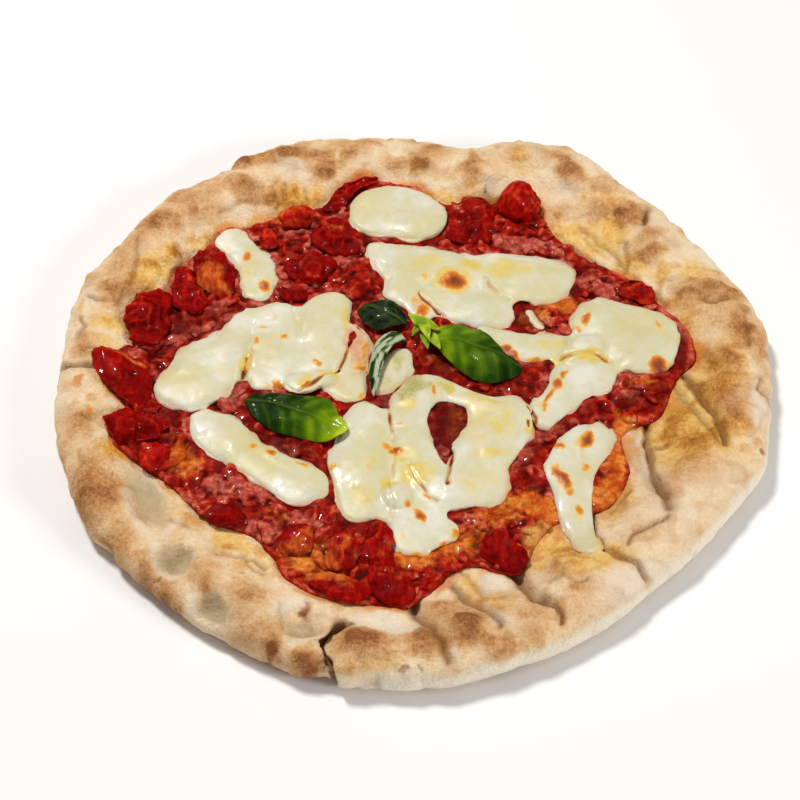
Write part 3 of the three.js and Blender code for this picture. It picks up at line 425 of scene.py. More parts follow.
def blob(detail):
    """The points and faces of one small round lump, 1 across."""
    bpy.ops.object.select_all(action="DESELECT")
    bpy.ops.mesh.primitive_ico_sphere_add(subdivisions=detail, radius=0.5)
    lump = bpy.context.object
    points = np.array([v.co for v in lump.data.vertices])
    faces = np.array([f.vertices for f in lump.data.polygons])
    bpy.data.objects.remove(lump)
    return points, faces


def heap(name, lumps, faces):
    """One new object from the points of many lumps that have the same faces."""
    faces = np.concatenate([faces + number * len(lump) for number, lump in enumerate(lumps)])
    mesh = bpy.data.meshes.new(name)
    mesh.from_pydata((np.concatenate(lumps) * MM).tolist(), [], faces.tolist())
    return linked(name, mesh)


def fuse(obj, voxel, rounds):
    """Makes overlapping shapes one skin and rounds off the joins."""
    remesh = obj.modifiers.new("fuse", "REMESH")
    remesh.mode = "VOXEL"
    remesh.voxel_size = voxel * MM
    relax = obj.modifiers.new("relax", "SMOOTH")
    relax.iterations = rounds
    pick(obj)
    bpy.ops.object.modifier_apply(modifier="fuse")
    bpy.ops.object.modifier_apply(modifier="relax")


def surface_of(*objects):
    """The skins of some objects, for asking how near they are or where a line meets them."""
    corners, faces = [], []
    for obj in objects:
        start = len(corners)
        corners += [v.co / MM for v in obj.data.vertices]
        faces += [[start + i for i in face.vertices] for face in obj.data.polygons]
    return BVHTree.FromPolygons(corners, faces)


def dropped(surface, x, y):
    """Where a line dropped at x and y first meets a surface, and the way it faces there."""
    place, normal, _, _ = surface.ray_cast(Vector((x, y, ABOVE)), Vector((0, 0, -1)))
    return place, normal


def gaps(surface, points, chosen, reach):
    """How far each chosen point is from a surface; endless for the others and past the reach."""
    found = np.full(len(points), np.inf)
    for i in chosen:
        gap = surface.find_nearest(Vector(points[i]), reach)[3]
        if gap is not None:
            found[i] = gap
    return found


def finish_piece(obj, material, slot, *nodes):
    pick(obj)
    bpy.ops.object.shade_smooth()
    obj.data.materials.clear()
    obj.data.materials.append(material)
    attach(obj, "root")
    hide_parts(*nodes)


# ---- materials ----
class Socket:
    """A node's output, with arithmetic that adds Math nodes."""

    def __init__(self, finish, output):
        self.finish = finish
        self.output = output

    def maths(self, operation, first, second):
        return self.finish.node("ShaderNodeMath", {"operation": operation}, {0: first, 1: second})[0]

    def __add__(self, other):
        return self.maths("ADD", self, other)

    def __sub__(self, other):
        return self.maths("SUBTRACT", self, other)

    def __rsub__(self, other):
        return self.maths("SUBTRACT", other, self)

    def __mul__(self, other):
        return self.maths("MULTIPLY", self, other)

    def between(self, low, high):
        """0 below low, 1 above high and smooth between them."""
        values = {"Value": self, "From Min": low, "From Max": high}
        return self.finish.node("ShaderNodeMapRange", {"interpolation_type": "SMOOTHSTEP"}, values)[0]


class Finish:
    """One material: a Principled shader and the nodes that feed it."""

    def __init__(self, name, **constants):
        self.material = bpy.data.materials.new(name)
        self.material.use_nodes = True
        self.tree = self.material.node_tree
        self.shader = self.tree.nodes["Principled BSDF"]
        self.place = self.node("ShaderNodeTexCoord", {}, {})["Object"]
        self.colour = None
        for socket, value in constants.items():
            self.shader.inputs[socket.replace("_", " ")].default_value = value

    def node(self, kind, settings, values):
        """Adds a node: its settings first, then the values or links of its sockets."""
        made = self.tree.nodes.new(kind)
        for key, value in settings.items():
            if key == "stops":
                self.set_stops(made.color_ramp, value)
            else:
                setattr(made, key, value)
        for key, value in values.items():
            if isinstance(value, Socket):
                self.tree.links.new(value.output, made.inputs[key])
            else:
                made.inputs[key].default_value = value
        return Outputs(self, made)

    @staticmethod
    def set_stops(ramp, stops):
        while len(ramp.elements) < len(stops):
            ramp.elements.new(1.0)
        for element, (place, *colour) in zip(ramp.elements, stops):
            element.position = place
            element.color = solid(*colour)

    def painted(self, name):
        """What paint() stored under this name."""
        return self.node("ShaderNodeAttribute", {"attribute_name": name}, {})["Fac"]

    def grain(self, size, stretch=None):
        """Noise from -0.5 to 0.5 with features about `size` millimetres across."""
        where = self.place
        if stretch:
            where = self.node("ShaderNodeMapping", {}, {"Vector": where, "Scale": stretch})[0]
        values = {"Vector": where, "Scale": 1 / (size * MM), "Detail": 3.0, "Roughness": 0.55}
        return self.node("ShaderNodeTexNoise", {}, values)[0] - 0.5

    def ramp(self, value, *stops):
        """Colours by value: each stop is a place from 0 to 1 and its red, green and blue."""
        return self.node("ShaderNodeValToRGB", {"stops": stops}, {"Fac": value})["Color"]

    def lay(self, mask, colour):
        """Lays a colour over what is there, in full where the mask is 1."""
        values = {0: mask, 6: self.colour, 7: colour}
        self.colour = self.node("ShaderNodeMix", {"data_type": "RGBA", "clamp_factor": True}, values)[2]

    def feed(self, socket, value):
        self.tree.links.new(value.output, self.shader.inputs[socket])

    def bump(self, height, distance, strength):
        values = {"Height": height, "Distance": distance * MM, "Strength": strength}
        self.feed("Normal", self.node("ShaderNodeBump", {}, values)[0])

    def done(self):
        self.feed("Base Color", self.colour)
        return self.material


class Outputs:
    """The outputs of a node, each found by its name or number."""

    def __init__(self, finish, node):
        self.finish = finish
        self.node = node

    def __getitem__(self, key):
        return Socket(self.finish, self.node.outputs[key])


def solid(red, green, blue):
    """A colour on the 0 to 255 scale of a picture, as the shader wants it."""
    def linear(v):
        v = v / 255
        return v / 12.92 if v <= 0.04045 else ((v + 0.055) / 1.055) ** 2.4
    return (linear(red), linear(green), linear(blue), 1)


def baked_dough():
    f = Finish("baked_dough", Specular_IOR_Level=0.25)
    soft, mid, fine, dots = map(f.grain, (11, 4, 1.5, 0.55))
    speckle = fine * 0.6 + dots * 0.5
    browned = f.painted("toast")
    toast = browned + soft * 0.3 + mid * 0.25 + speckle * (browned * 0.7 + 0.35)
    f.colour = f.ramp(toast, (0, 243, 230, 208), (0.25, 238, 212, 174), (0.5, 222, 179, 129),
                      (0.75, 193, 138, 84), (1, 142, 85, 43))
    golden = (f.painted("golden") + soft * 0.5 + mid * 0.25 + speckle * 0.15).between(0.05, 1)
    mottled = toast + (soft * 0.3 + mid * 0.4 + fine * 0.15) * golden
    f.lay(golden, f.ramp(mottled, (0, 246, 214, 144), (0.35, 232, 182, 96), (0.65, 196, 130, 42),
                         (1, 140, 80, 22)))
    # flour, painted light on the hollows' lower rims, and a paler side wall towards the front right
    flour = (f.painted("flour") + soft * 0.45 + mid * 0.4 + speckle * 0.5).between(0.2, 0.95)
    f.lay(flour * 0.75, solid(236, 225, 204))
    ash = (f.painted("ash") + mid * 0.5 + speckle * 0.3).between(0.1, 0.9)
    # painted shade in the hollows, mixed with their grey flour
    f.lay(ash * 0.8, f.ramp(mid + 0.5, (0.3, 160, 140, 104), (0.7, 192, 172, 134)))
    stain = (f.painted("stain") + mid * 0.7 + fine * 0.4).between(0.25, 1)
    f.lay(stain * 0.8, f.ramp(mid + 0.5, (0.3, 204, 96, 22), (0.7, 226, 158, 60)))
    scorch = (f.painted("scorch") + fine * 0.6).between(0.3, 0.9)
    f.lay(scorch * 0.85, solid(136, 68, 22))
    # painted shade beside the cracks and folds, and darker along their bottoms and in the split
    f.lay(f.painted("shade") * 0.5, solid(158, 104, 46))
    f.lay(f.painted("crease") * 0.85, solid(122, 74, 26))
    f.feed("Roughness", 0.8 - golden * 0.42 - stain * 0.2)
    f.bump(mid * 0.6 + fine * 0.6 + dots * 0.3, 1.2, 1)
    return f.done()


def tomato_sauce():
    f = Finish("tomato_sauce", Roughness=0.5, Specular_IOR_Level=0.03, Coat_Roughness=0.06,
               Subsurface_Weight=0.12, Subsurface_Radius=(1, 0.25, 0.15), Subsurface_Scale=1.4 * MM)
    soft, lumpy, fine, wet, warm = map(f.grain, (8, 2.2, 0.7, 3.5, 5))
    rise = f.painted("rise") - 0.5
    # rise lightens the tops of the lumps and darkens their crevices: painted light and shade
    shade = soft * 0.9 + lumpy * 0.7 + fine * 0.3 + rise * 0.8 + 0.42
    f.colour = f.ramp(shade, (0.1, 74, 4, 3), (0.42, 124, 8, 5), (0.68, 166, 28, 10), (0.98, 210, 90, 60))
    f.lay(warm.between(0.02, 0.18) * 0.3, solid(206, 66, 22))
    # the cheese's milky film, and painted sheen on the tops of the lumps
    milky = (f.painted("milky") + soft * 0.6 + lumpy * 0.4 + rise * 0.9).between(0.25, 0.95)
    f.lay(milky * 0.75, f.ramp(lumpy * 0.7 + soft * 0.3 + 0.5, (0.3, 146, 34, 27), (0.5, 192, 86, 68),
                               (0.7, 226, 154, 130)))
    oily = (f.painted("oily") + soft * 0.7 + lumpy * 0.5).between(0.3, 0.95)
    f.lay(oily * 0.85, f.ramp(soft * 0.5 + lumpy * 0.5 + 0.5, (0.3, 168, 54, 10), (0.5, 210, 104, 28),
                              (0.68, 232, 164, 76)))
    bare = (f.painted("bare") + soft * 0.5 + lumpy * 0.4).between(0.3, 0.9)
    f.lay(bare * 0.9, f.ramp(lumpy + 0.5, (0.3, 192, 124, 50), (0.7, 220, 172, 100)))
    # the sauce's own dark pools, and painted shade under the front leaf and between pieces
    f.lay(f.painted("dark") * 0.75, solid(84, 10, 4))
    # painted shade in the crevices between the lumps
    f.lay((1 - rise.between(-0.4, -0.04)) * 0.55, solid(66, 4, 4))
    f.feed("Coat Weight", wet.between(0.04, 0.12) * 0.7)
    f.bump(lumpy * 0.9 + fine * 0.2, 0.7, 0.7)
    return f.done()


def melted_mozzarella():
    f = Finish("melted_mozzarella", Specular_IOR_Level=0.5, Subsurface_Weight=0.3,
               Subsurface_Radius=(1, 0.7, 0.4), Subsurface_Scale=1.6 * MM)
    wide, soft, mid, fine = map(f.grain, (22, 8, 2.8, 0.9))
    f.colour = f.ramp(wide * 0.55 + soft * 0.4 + mid * 0.05 + 0.5, (0.38, 210, 199, 148),
                      (0.46, 210, 203, 163), (0.54, 215, 210, 183), (0.63, 225, 223, 206))
    oil = (f.painted("oil") + soft + mid * 0.7).between(0.15, 0.85)
    f.lay(oil * 0.85, f.ramp(mid + 0.5, (0.3, 220, 184, 40), (0.7, 224, 204, 98)))
    olive = (f.painted("olive") + mid * 0.7).between(0.25, 1)
    f.lay(olive * 0.75, f.ramp(fine + 0.5, (0.3, 128, 124, 34), (0.7, 196, 188, 92)))
    pink = (f.painted("pink") + mid * 0.6 + fine * 0.3).between(0.2, 1)
    f.lay(pink * 0.75, f.ramp(mid + 0.5, (0.3, 206, 104, 66), (0.7, 230, 168, 124)))
    brown = f.painted("brown") + mid * 0.4 + fine * 0.3
    f.lay(brown.between(0.1, 0.4), f.ramp(brown, (0.1, 232, 208, 136), (0.3, 230, 180, 84),
                                          (0.5, 218, 138, 38), (0.75, 190, 92, 22), (1, 132, 60, 20)))
    # seams: a line of oil, and painted shade where they are dark
    seam = f.painted("seam")
    f.lay(seam.between(0.05, 0.5), f.ramp(seam, (0.1, 226, 186, 106), (0.45, 196, 122, 44),
                                          (0.9, 84, 36, 14)))
    f.feed("Roughness", 0.44 - soft.between(0.02, 0.12) * 0.24 - oil * 0.14)
    f.bump(mid * 0.5 + fine * 0.15, 0.3, 0.7)
    return f.done()


def tomato_flesh():
    f = Finish("tomato_flesh", Roughness=0.5, Specular_IOR_Level=0.03, Coat_Roughness=0.06,
               Subsurface_Weight=0.15, Subsurface_Radius=(1, 0.15, 0.08), Subsurface_Scale=1.6 * MM)
    soft, fine, wet = map(f.grain, (7, 0.7, 4.5))
    fibre = f.grain(1.8, stretch=(1, 0.4, 1))
    rise = f.painted("rise") - 0.5
    # rise lightens the chunks' raised parts and darkens their hollows: painted light and shade
    shade = soft * 0.7 + fibre * 0.5 + fine * 0.2 + 0.55 + f.painted("fresh") * 0.2 + rise * 0.45
    f.colour = f.ramp(shade, (0.3, 90, 2, 2), (0.5, 130, 4, 3), (0.7, 168, 13, 5), (0.9, 214, 58, 20))
    # painted pink sheen on the raised parts
    milky = (fine * 0.5 + soft * 0.3 + fibre * 0.3 + rise * 0.3).between(0.08, 0.3)
    f.lay(milky * 0.25, solid(206, 90, 66))
    f.lay(f.painted("low") * 0.65, solid(84, 4, 4))
    orange = (f.painted("orange") + soft * 0.5 + fibre * 0.5).between(0.2, 0.9)
    f.lay(orange * 0.8, f.ramp(fibre + 0.5, (0.25, 194, 54, 12), (0.7, 228, 128, 50)))
    f.feed("Coat Weight", wet.between(0.05, 0.13) * 0.6)
    f.bump(fibre * 0.7 + fine * 0.2, 0.7, 0.6)
    return f.done()


def basil_leaf():
    f = Finish("basil_leaf", Roughness=0.5, Specular_IOR_Level=0.03, Coat_Roughness=0.1,
               Subsurface_Weight=0.05, Subsurface_Radius=(0.4, 1, 0.1), Subsurface_Scale=0.8 * MM)
    soft, fine = map(f.grain, (7, 0.8))
    bright = f.painted("bright") + soft * 0.35 + fine * 0.15
    f.colour = f.ramp(bright, (0, 8, 26, 8), (0.3, 36, 66, 5), (0.55, 80, 112, 6), (0.8, 134, 162, 12),
                      (1, 182, 202, 52))
    f.lay(f.painted("vein") * 0.14, solid(150, 170, 60))
    f.lay(f.painted("pale"), solid(186, 196, 160))
    f.feed("Coat Weight", soft.between(0.02, 0.12) * 0.55)
    f.bump(fine, 0.2, 0.35)
    return f.done()


# ---- the crust ----
AROUND = 960           # points round the edge
INNER = 86             # the fine mesh reaches in to this radius; further in the dough is flat under sauce
SPINE_INSET = 12       # a line inside the edge that the outer surface is measured from
SPINE_HEIGHT = 7
REACH_HEIGHT = 2.5     # low enough to pass under every groove in the dough
WALL_ROWS = 38
TOP_ROWS = 50
COVER_REACH = 128      # dough under the sauce lies within this radius
COVER_DEPTH = 9        # and less than this far below the sauce's skin
SEEP_REACH = 130       # and dough that its oil has stained within this one
SEEP = 6.5             # how far the oil has run from the sauce
PINCHED = 2.1          # how far each lip of the split is drawn in


def crust_points(surface):
    """Rows of points over the raised edge, from the underside, round the side wall and in over the top."""
    rows = np.zeros((WALL_ROWS + TOP_ROWS, AROUND + 1, 3))
    middle = Vector((*MIDDLE, REACH_HEIGHT))
    for i in range(AROUND + 1):
        turn = 2 * math.pi * (i % AROUND) / AROUND
        out = Vector((math.cos(turn), math.sin(turn), 0))
        reach = surface.ray_cast(middle, out)[3] - SPINE_INSET
        spine = middle + out * reach + Vector((0, 0, SPINE_HEIGHT - REACH_HEIGHT))
        for k in range(WALL_ROWS):
            tilt = math.pi * (k / (WALL_ROWS - 1) - 0.5)
            ray = out * math.cos(tilt) + Vector((0, 0, math.sin(tilt)))
            rows[k, i] = surface.ray_cast(spine, ray)[0]
        for k in range(TOP_ROWS):
            part = (k + 1) / TOP_ROWS
            above = middle + out * (reach * (1 - part) + INNER * part)
            rows[WALL_ROWS + k, i] = dropped(surface, above.x, above.y)[0]
    return rows.reshape(-1, 3)


def dough_mesh():
    """A closed mesh over the CAD crust, fine round the raised edge."""
    form = form_of("crust", "crust_form", 2)
    surface = surface_of(form)
    bpy.data.objects.remove(form)
    bpy.ops.object.select_all(action="DESELECT")
    bpy.ops.mesh.primitive_grid_add(x_subdivisions=AROUND, y_subdivisions=WALL_ROWS + TOP_ROWS - 1, size=1)
    obj = bpy.context.object
    obj.name = obj.data.name = "crust_dough"
    write(obj, crust_points(surface))
    in_edit_mode(obj, MERGE, (bpy.ops.mesh.fill_holes, {"sides": 0}),
                 (bpy.ops.mesh.normals_make_consistent, {"inside": False}))
    return obj


def crust_relief(p, outward, xy, radius):
    """Fine form of the dough, measured out from its surface: puffs, dents, grain and sharp cracks. The
    other values are the parts of it that also change the dough's colour."""
    top = ease(0.0, 0.6, outward[:, 2])
    edge = ease(92, 114, radius)
    low = 1 - ease(0.4, 2.0, p[:, 2])
    swelling = domes(xy, SWELLINGS, 1.5)
    lift = 0.8 * noise(p, 24, 1) * edge + 1.5 * (np.abs(noise(p, 15, 2)) - 0.25) * edge
    lift += 0.4 * noise(p, 6.5, 3) * edge + 0.22 * noise(p, 3.2, 4) + 0.1 * noise(p, 1.8, 5)
    skin = ease(-0.2, 0.5, noise(p, 18, 14)) * edge
    lift += skin * (0.5 * np.maximum(0, noise(p, 3.4, 15) - 0.15) + 0.16 * noise(p, 2.0, 16))
    blister = np.maximum(0, noise(p, 5.5, 6) - 0.4)
    lift += (1.55 * swelling - 1.15 * domes(xy, HOLLOWS, 1.8)) * top + 1.4 * blister * edge * top
    lift *= 1 - 0.85 * low
    wander = wandering(xy, 0.8, 4, 7)
    groove, line, shade = np.zeros(len(p)), np.zeros(len(p)), np.zeros(len(p))
    for path, width, depth in CRACKS:
        d = path_distance(wander, path)
        groove = np.maximum(groove, depth * bell(d, width))
        lift += 0.3 * depth * bell(d - 2.2 * width, 1.3 * width) * top
        # painted shade: dark along the crack's bottom, browner to each side of it
        line = np.maximum(line, min(1, depth / 1.6) * bell(d, 0.7 * width))
        shade = np.maximum(shade, min(1, depth / 2) * bell(d, 2 * width))
    lift -= groove * np.maximum(top, 0.7 * edge) * (1 - low)
    for size, seed, depth in ((13, 9, 0.7), (6.5, 11, 0.35)):
        here = ease(0.05, 0.45, noise(p, 1.4 * size, seed + 1))
        fold = bell(noise(p, size, seed) * size, 1.1) * here * edge
        lift -= depth * fold * (1 - low)
        shade = np.maximum(shade, 0.8 * depth * fold)
    return lift, swelling, blister, line, shade


def pinch(p, xy):
    """How far each point moves sideways to narrow the split in the front edge."""
    offset = path_offset(xy, SPLIT)
    d = np.linalg.norm(offset, axis=1)
    near = ease(0.8, 3.2, d) * (1 - ease(3, 9, d)) * ease(-122, -130, p[:, 1]) * ease(0, 1.5, p[:, 2])
    return -offset / np.maximum(d, 0.01)[:, None] * (PINCHED * near)[:, None]


def crust(sauce_surface):
    obj = dough_mesh()
    p, outward, xy = measured(obj)
    radius = np.linalg.norm(xy, axis=1)
    lift, swelling, blister, line, shade = crust_relief(p, outward, xy, radius)
    covered = np.zeros(len(p))
    for i in np.flatnonzero((radius < COVER_REACH) & (outward[:, 2] > 0.3)):
        if sauce_surface.ray_cast(Vector(p[i]), Vector((0, 0, 1)), COVER_DEPTH)[0] is not None:
            covered[i] = 1
    covered = np.clip(1.8 * neighbours_mean(obj, covered, 5), 0, 1)
    lift += (np.minimum(lift, -0.2) - lift) * covered
    shaped = p + outward * lift[:, None]
    shaped[:, :2] += pinch(p, xy)
    shaped[:, 2] = np.where(p[:, 2] < 0.3, np.minimum(shaped[:, 2], p[:, 2]), shaped[:, 2]).clip(0)
    write(obj, shaped)
    top = ease(0.1, 0.7, outward[:, 2])
    under = ease(0.5, 0.9, -outward[:, 2])
    side = 1 - top - under
    angle = np.degrees(np.arctan2(xy[:, 1], xy[:, 0]))
    pale_side = ease(-115, -80, angle) * (1 - ease(-14, 6, angle))
    toast = 0.19 + 0.63 * marks(xy, TOASTED, 3) + 0.5 * blister + 0.04 * swelling * top
    toast += 0.1 * ease(106, 122, radius) * top
    toast += 0.1 * sum(noise(p, 16 / 2 ** k, 30 + k) / 2 ** k for k in range(3))
    toast += side * (0.12 * (1 - pale_side) - 0.25 * pale_side) + 0.35 * under
    # the side wall towards the front right is painted paler
    wall = side * (0.25 + 0.75 * pale_side) * ease(1, 4, p[:, 2])
    # painted light on the lower rims of the hollows, with some flour
    lit_rims = [0.65 * bell(path_distance(xy, path), 3.6) * top for path in LIT_RIMS]
    open_dough = np.flatnonzero((radius < SEEP_REACH) & (top > 0.2))
    seep = 1 - ease(0.5, SEEP, gaps(sauce_surface, p, open_dough, SEEP))
    seep *= 0.75 + 0.6 * noise(xy, 9, 31)
    # painted shade inside the split in the front edge
    split = 1 - ease(1.0, 3.0, path_distance(xy, SPLIT))
    paint(obj, toast=toast,
          golden=marks(xy, GOLDEN, 3) * top + 0.2 * top * (1 - ease(104, 126, radius)),
          flour=np.maximum.reduce([marks(xy, FLOURED, 3, 0.8) * (1 - side), wall, *lit_rims]),
          ash=marks(xy, GREY_SHADED_HOLLOWS, 1.5, 0.8) * top,
          stain=np.maximum(marks(xy, STAINED), seep) * top,
          scorch=marks(xy, SCORCHED, 0.8, 0.6) * (1 - under),
          crease=np.maximum(0.85 * line, split * (1 - under)),
          shade=shade)
    finish_piece(obj, baked_dough(), "baked_dough", "crust")


# ---- the sauce ----
SAUCE_VOXEL = 0.95
PULP_LUMPS = 1150
PULP_VOXEL = 0.72
CLOUDED = 5.5          # how far the cheese has made the sauce round it milky
# Where the sauce is dark, orange with oil, thin over the dough, or milky.
# Dark: the sauce's own dark wet pools, and painted shade under the front leaf and between the chunks and the
# cheese.
DARK_POOLS_AND_SHADE = [
    (12, -28, 9, 18, 1), (-9, -12, 6, 10, 1, -40), (36, -7, 18, 6, .7, -12), (10, 6, 8, 6, .8),
    (-52, -40, 16, 5, .8, -30), (46, 30, 4, 9, .8), (-76, -8, 3, 8, .8), (88, -16, 8, 4, .9, 20),
    (-102, 28, 9, 10, .9, 20), (-108, 8, 4, 9, .6, -10), (-86, 32, 6, 5, .6), (-52, 88, 6, 5, .8),
    (-38, 74, 6, 8, .5), (112, 12, 4, 16, .8), (102, -12, 3, 8, .7), (62, -28, 16, 3, .5, 32),
    (44, -50, 3, 10, .6, -20), (-104, -28, 9, 6, .6), (-70, -70, 6, 3, .5, -35), (66, 48, 8, 4, .6, 10),
    (-48, 30, 2, 10, .4), (4, 78, 10, 2, .6, 10), (80, 62, 7, 5, .5, -40), (-100, -10, 4, 7, .5),
]
ORANGE_SAUCE = [
    (-94, -47, 8, 7, 1, -40), (46, -68, 12, 6, 1), (80, -46, 6, 12, 1), (14, -86, 12, 8, 1),
    (-42, -94, 10, 8, .9), (-34, -104, 9, 5, .9), (62, 39, 12, 6, 1, -15), (50, 30, 6, 6, .8),
    (-57, 92, 8, 6, .8), (77, -66, 9, 10, 1.1), (86, -56, 6, 8, .5), (100, -8, 6, 8, .4),
    (56, -76, 10, 6, 1), (-88, 56, 5, 8, .8), (15, -26, 5, 10, .7), (-2, -94, 14, 5, .9),
    (84, -30, 6, 8, .9), (12, 4, 8, 6, .6), (30, -74, 12, 6, .8), (-100, -36, 8, 6, .5),
    (-56, -76, 6, 4, .6), (96, -6, 9, 3, .8), (-10, -104, 4, 3, .5),
]
BARE_SAUCE = [
    (51, -84, 9, 7, 1, -20), (62, -80, 6, 5, .7), (46, -92, 6, 4, .9), (84, -64, 3.4, 6, .9),
    (80, -73, 5, 4, 1), (76, -66, 4, 7, .5), (88, -42, 3, 8, .8), (70, -78, 3, 4, .6),
]
# Milky: the cheese's film on the sauce, and painted sheen where the pulp catches the light.
MILKY_AND_SHEEN_SAUCE = [
    (-78, 24, 6, 9, .9, 40), (-74, -6, 4, 14, 1), (-66, -62, 14, 4, .9, -35), (-46, -78, 10, 4, .8),
    (-78, -60, 8, 6, .9), (48, 75, 16, 3.5, 1, -8), (-46, 60, 5, 12, .9), (-68, 38, 7, 4, .9),
    (44, -42, 5, 12, .7, -30), (-56, 84, 8, 5, .9), (-100, 60, 8, 8, .6), (70, 30, 5, 8, .6),
    (-60, 50, 4, 10, .8), (-112, -30, 9, 5, .8), (-84, 36, 6, 6, .6), (-34, 66, 6, 6, .7),
    (-54, -82, 10, 5, .7), (-30, -8, 5, 4, .5), (54, -32, 4, 6, .8, -40), (-94, 12, 4, 8, .6, -40),
    (20, -76, 6, 3, .6), (84, 46, 12, 5, .8, -30), (66, 56, 14, 5, .8, -15), (102, 22, 3, 12, .5, 10),
    (-104, 52, 6, 8, 1), (-98, 20, 12, 3, .8, 25), (-36, 96, 5, 8, 1), (-47, 72, 5, 6, .8),
    (-94, -68, 8, 5, .8, -40), (54, -34, 14, 2, .8, 32), (90, -12, 4, 3, .8), (-118, 8, 3, 6, .7, -30),
]


def paint_sauce(obj, cheese_surface):
    p, _, xy = measured(obj)
    near = 1 - ease(0.3, CLOUDED, gaps(cheese_surface, p, range(len(p)), CLOUDED))
    near *= 0.3 + 0.8 * noise(xy, 12, 45)
    paint(obj, oily=marks(xy, ORANGE_SAUCE, 3), milky=np.maximum(marks(xy, MILKY_AND_SHEEN_SAUCE, 3), near),
          dark=marks(xy, DARK_POOLS_AND_SHADE, 2, 0.6), bare=marks(xy, BARE_SAUCE, 3),
          rise=0.5 + p[:, 2] - neighbours_mean(obj, p[:, 2], 20))


def sauce():
    obj = form_of("sauce", "sauce_layer", 2)
    p, outward, _ = measured(obj)
    p[:, 2] -= 2.2 * ease(0.3, 0.9, -outward[:, 2])
    write(obj, p)
    fuse(obj, SAUCE_VOXEL, 9)
    p, outward, xy = measured(obj)
    top = ease(0.2, 0.8, outward[:, 2])
    side = 1 - ease(0.3, 0.9, np.abs(outward[:, 2]))
    lift = 0.5 * np.maximum(0, noise(p, 5.5, 40)) + 0.4 * noise(p, 3.2, 41)
    out = 0.9 + 1.8 * noise(xy, 8, 43) + 0.4 * noise(xy, 3.5, 44)
    shaped = swollen(p, outward, lift * top, side * out)
    even = np.column_stack([neighbours_mean(obj, shaped[:, k], 8) for k in range(3)])
    shaped += (even - shaped) * np.clip(2 * neighbours_mean(obj, side, 5), 0, 1)[:, None]
    write(obj, shaped)
    finish_piece(obj, SAUCE_FINISH, "tomato_sauce", "sauce")
    return obj


def near_edge(surface, place, reach):
    """Whether a surface ends within reach of a place, looked at from above."""
    ways = ((1, 0), (0, 1), (-1, 0), (0, -1))
    return any(dropped(surface, place.x + x * reach, place.y + y * reach)[0] is None for x, y in ways)


def pulp(sauce_surface, cheese_surface):
    """Crushed tomato over the open sauce: overlapping lumps, half sunk and fused into one rough skin."""
    rng = np.random.default_rng(5)
    shape, faces = blob(2)
    lumps, placed = [], 0
    while placed < PULP_LUMPS:
        x, y = rng.uniform(-140, 122), rng.uniform(-122, 122)
        size = rng.uniform(2.8, 5.2) + 5 * rng.random() ** 3    # a few are much larger
        place, normal = dropped(sauce_surface, x + MIDDLE[0], y + MIDDLE[1])
        if place is None or normal.z < 0.75 or cheese_surface.find_nearest(place)[3] < 0.42 * size:
            continue
        if near_edge(sauce_surface, place, 0.65 * size):
            continue
        here = np.array([[x, y]])
        smooth = marks(here, ORANGE_SAUCE, 3)[0] * 0.75 + marks(here, DARK_POOLS_AND_SHADE, 2, 0.6)[0] * 0.5
        if rng.random() < smooth:
            continue
        turn = rng.uniform(0, math.pi)
        c, s = math.cos(turn), math.sin(turn)
        stretch = np.array([1.35, 0.9, 0.5]) * rng.uniform(0.8, 1.2, 3) * size
        uneven = 0.7 * noise(shape * 1.6 + placed * 3.1, 1, 50) + 0.3 * noise(shape * 4 + placed * 1.7, 1, 51)
        lump = shape * (1 + uneven)[:, None] * stretch
        lump = lump @ np.array([[c, s, 0], [-s, c, 0], [0, 0, 1]])
        placed += 1
        bare = marks(here, BARE_SAUCE, 3)[0] > 0.35
        if not bare and (size > 6 or noise(here, 17, 56)[0] < 0.22):
            lumps.append(lump + np.array([place.x, place.y, place.z - 0.02 * size]))
    obj = heap("sauce_pulp", lumps, faces)
    fuse(obj, PULP_VOXEL, 6)
    p, outward, _ = measured(obj)
    lift = 0.25 - np.abs(noise(p, 5, 52)) + 0.3 * noise(p, 2.6, 54) + 0.1 * noise(p, 1.4, 53)
    write(obj, p + outward * lift[:, None])
    paint_sauce(obj, cheese_surface)
    finish_piece(obj, SAUCE_FINISH, "tomato_sauce", "sauce")


# ---- the cheese ----
# Pieces that have run together, each group one skin.
CHEESES = {
    "left": ["left", "left_middle", "middle", "pink"],
    "middle": ["upright", "pool", "bottom"],
    "long": ["long", "fold"],
    "right": ["right", "band", "middle_right"],
    "back": ["back"],
    "back_left": ["back_left"],
    "diagonal": ["diagonal"],
    "tongue": ["tongue"],
    "under_leaf": ["under_leaf"],
    "shred": ["shred"],
}
CHEESE_VOXEL = 0.62
CHEESE_SPREAD = 1.1      # how far each piece has run past its CAD outline
CHEESE_SINK = 0.86       # what is left of its height
CHEESE_GAP = 5           # pieces of a group grow towards each other over gaps up to this
SAUCE_TOP = 10.2         # the height of the sauce over the dough's flat middle


def joined(objects, name):
    pick(*objects)
    if len(objects) > 1:
        bpy.ops.object.join()
    obj = bpy.context.object
    obj.name = obj.data.name = name
    return obj


def settled(node):
    """A CAD piece of cheese, a little lower, its foot sunk into what it lies on."""
    obj = form_of(node, node.replace("mozzarella", "part"), 2)
    p, outward, _ = measured(obj)
    floor = p[:, 2].min()
    p[:, 2] = floor + (p[:, 2] - floor) * CHEESE_SINK - 0.4 - 1.6 * ease(0.3, 0.9, -outward[:, 2])
    write(obj, p)
    return obj


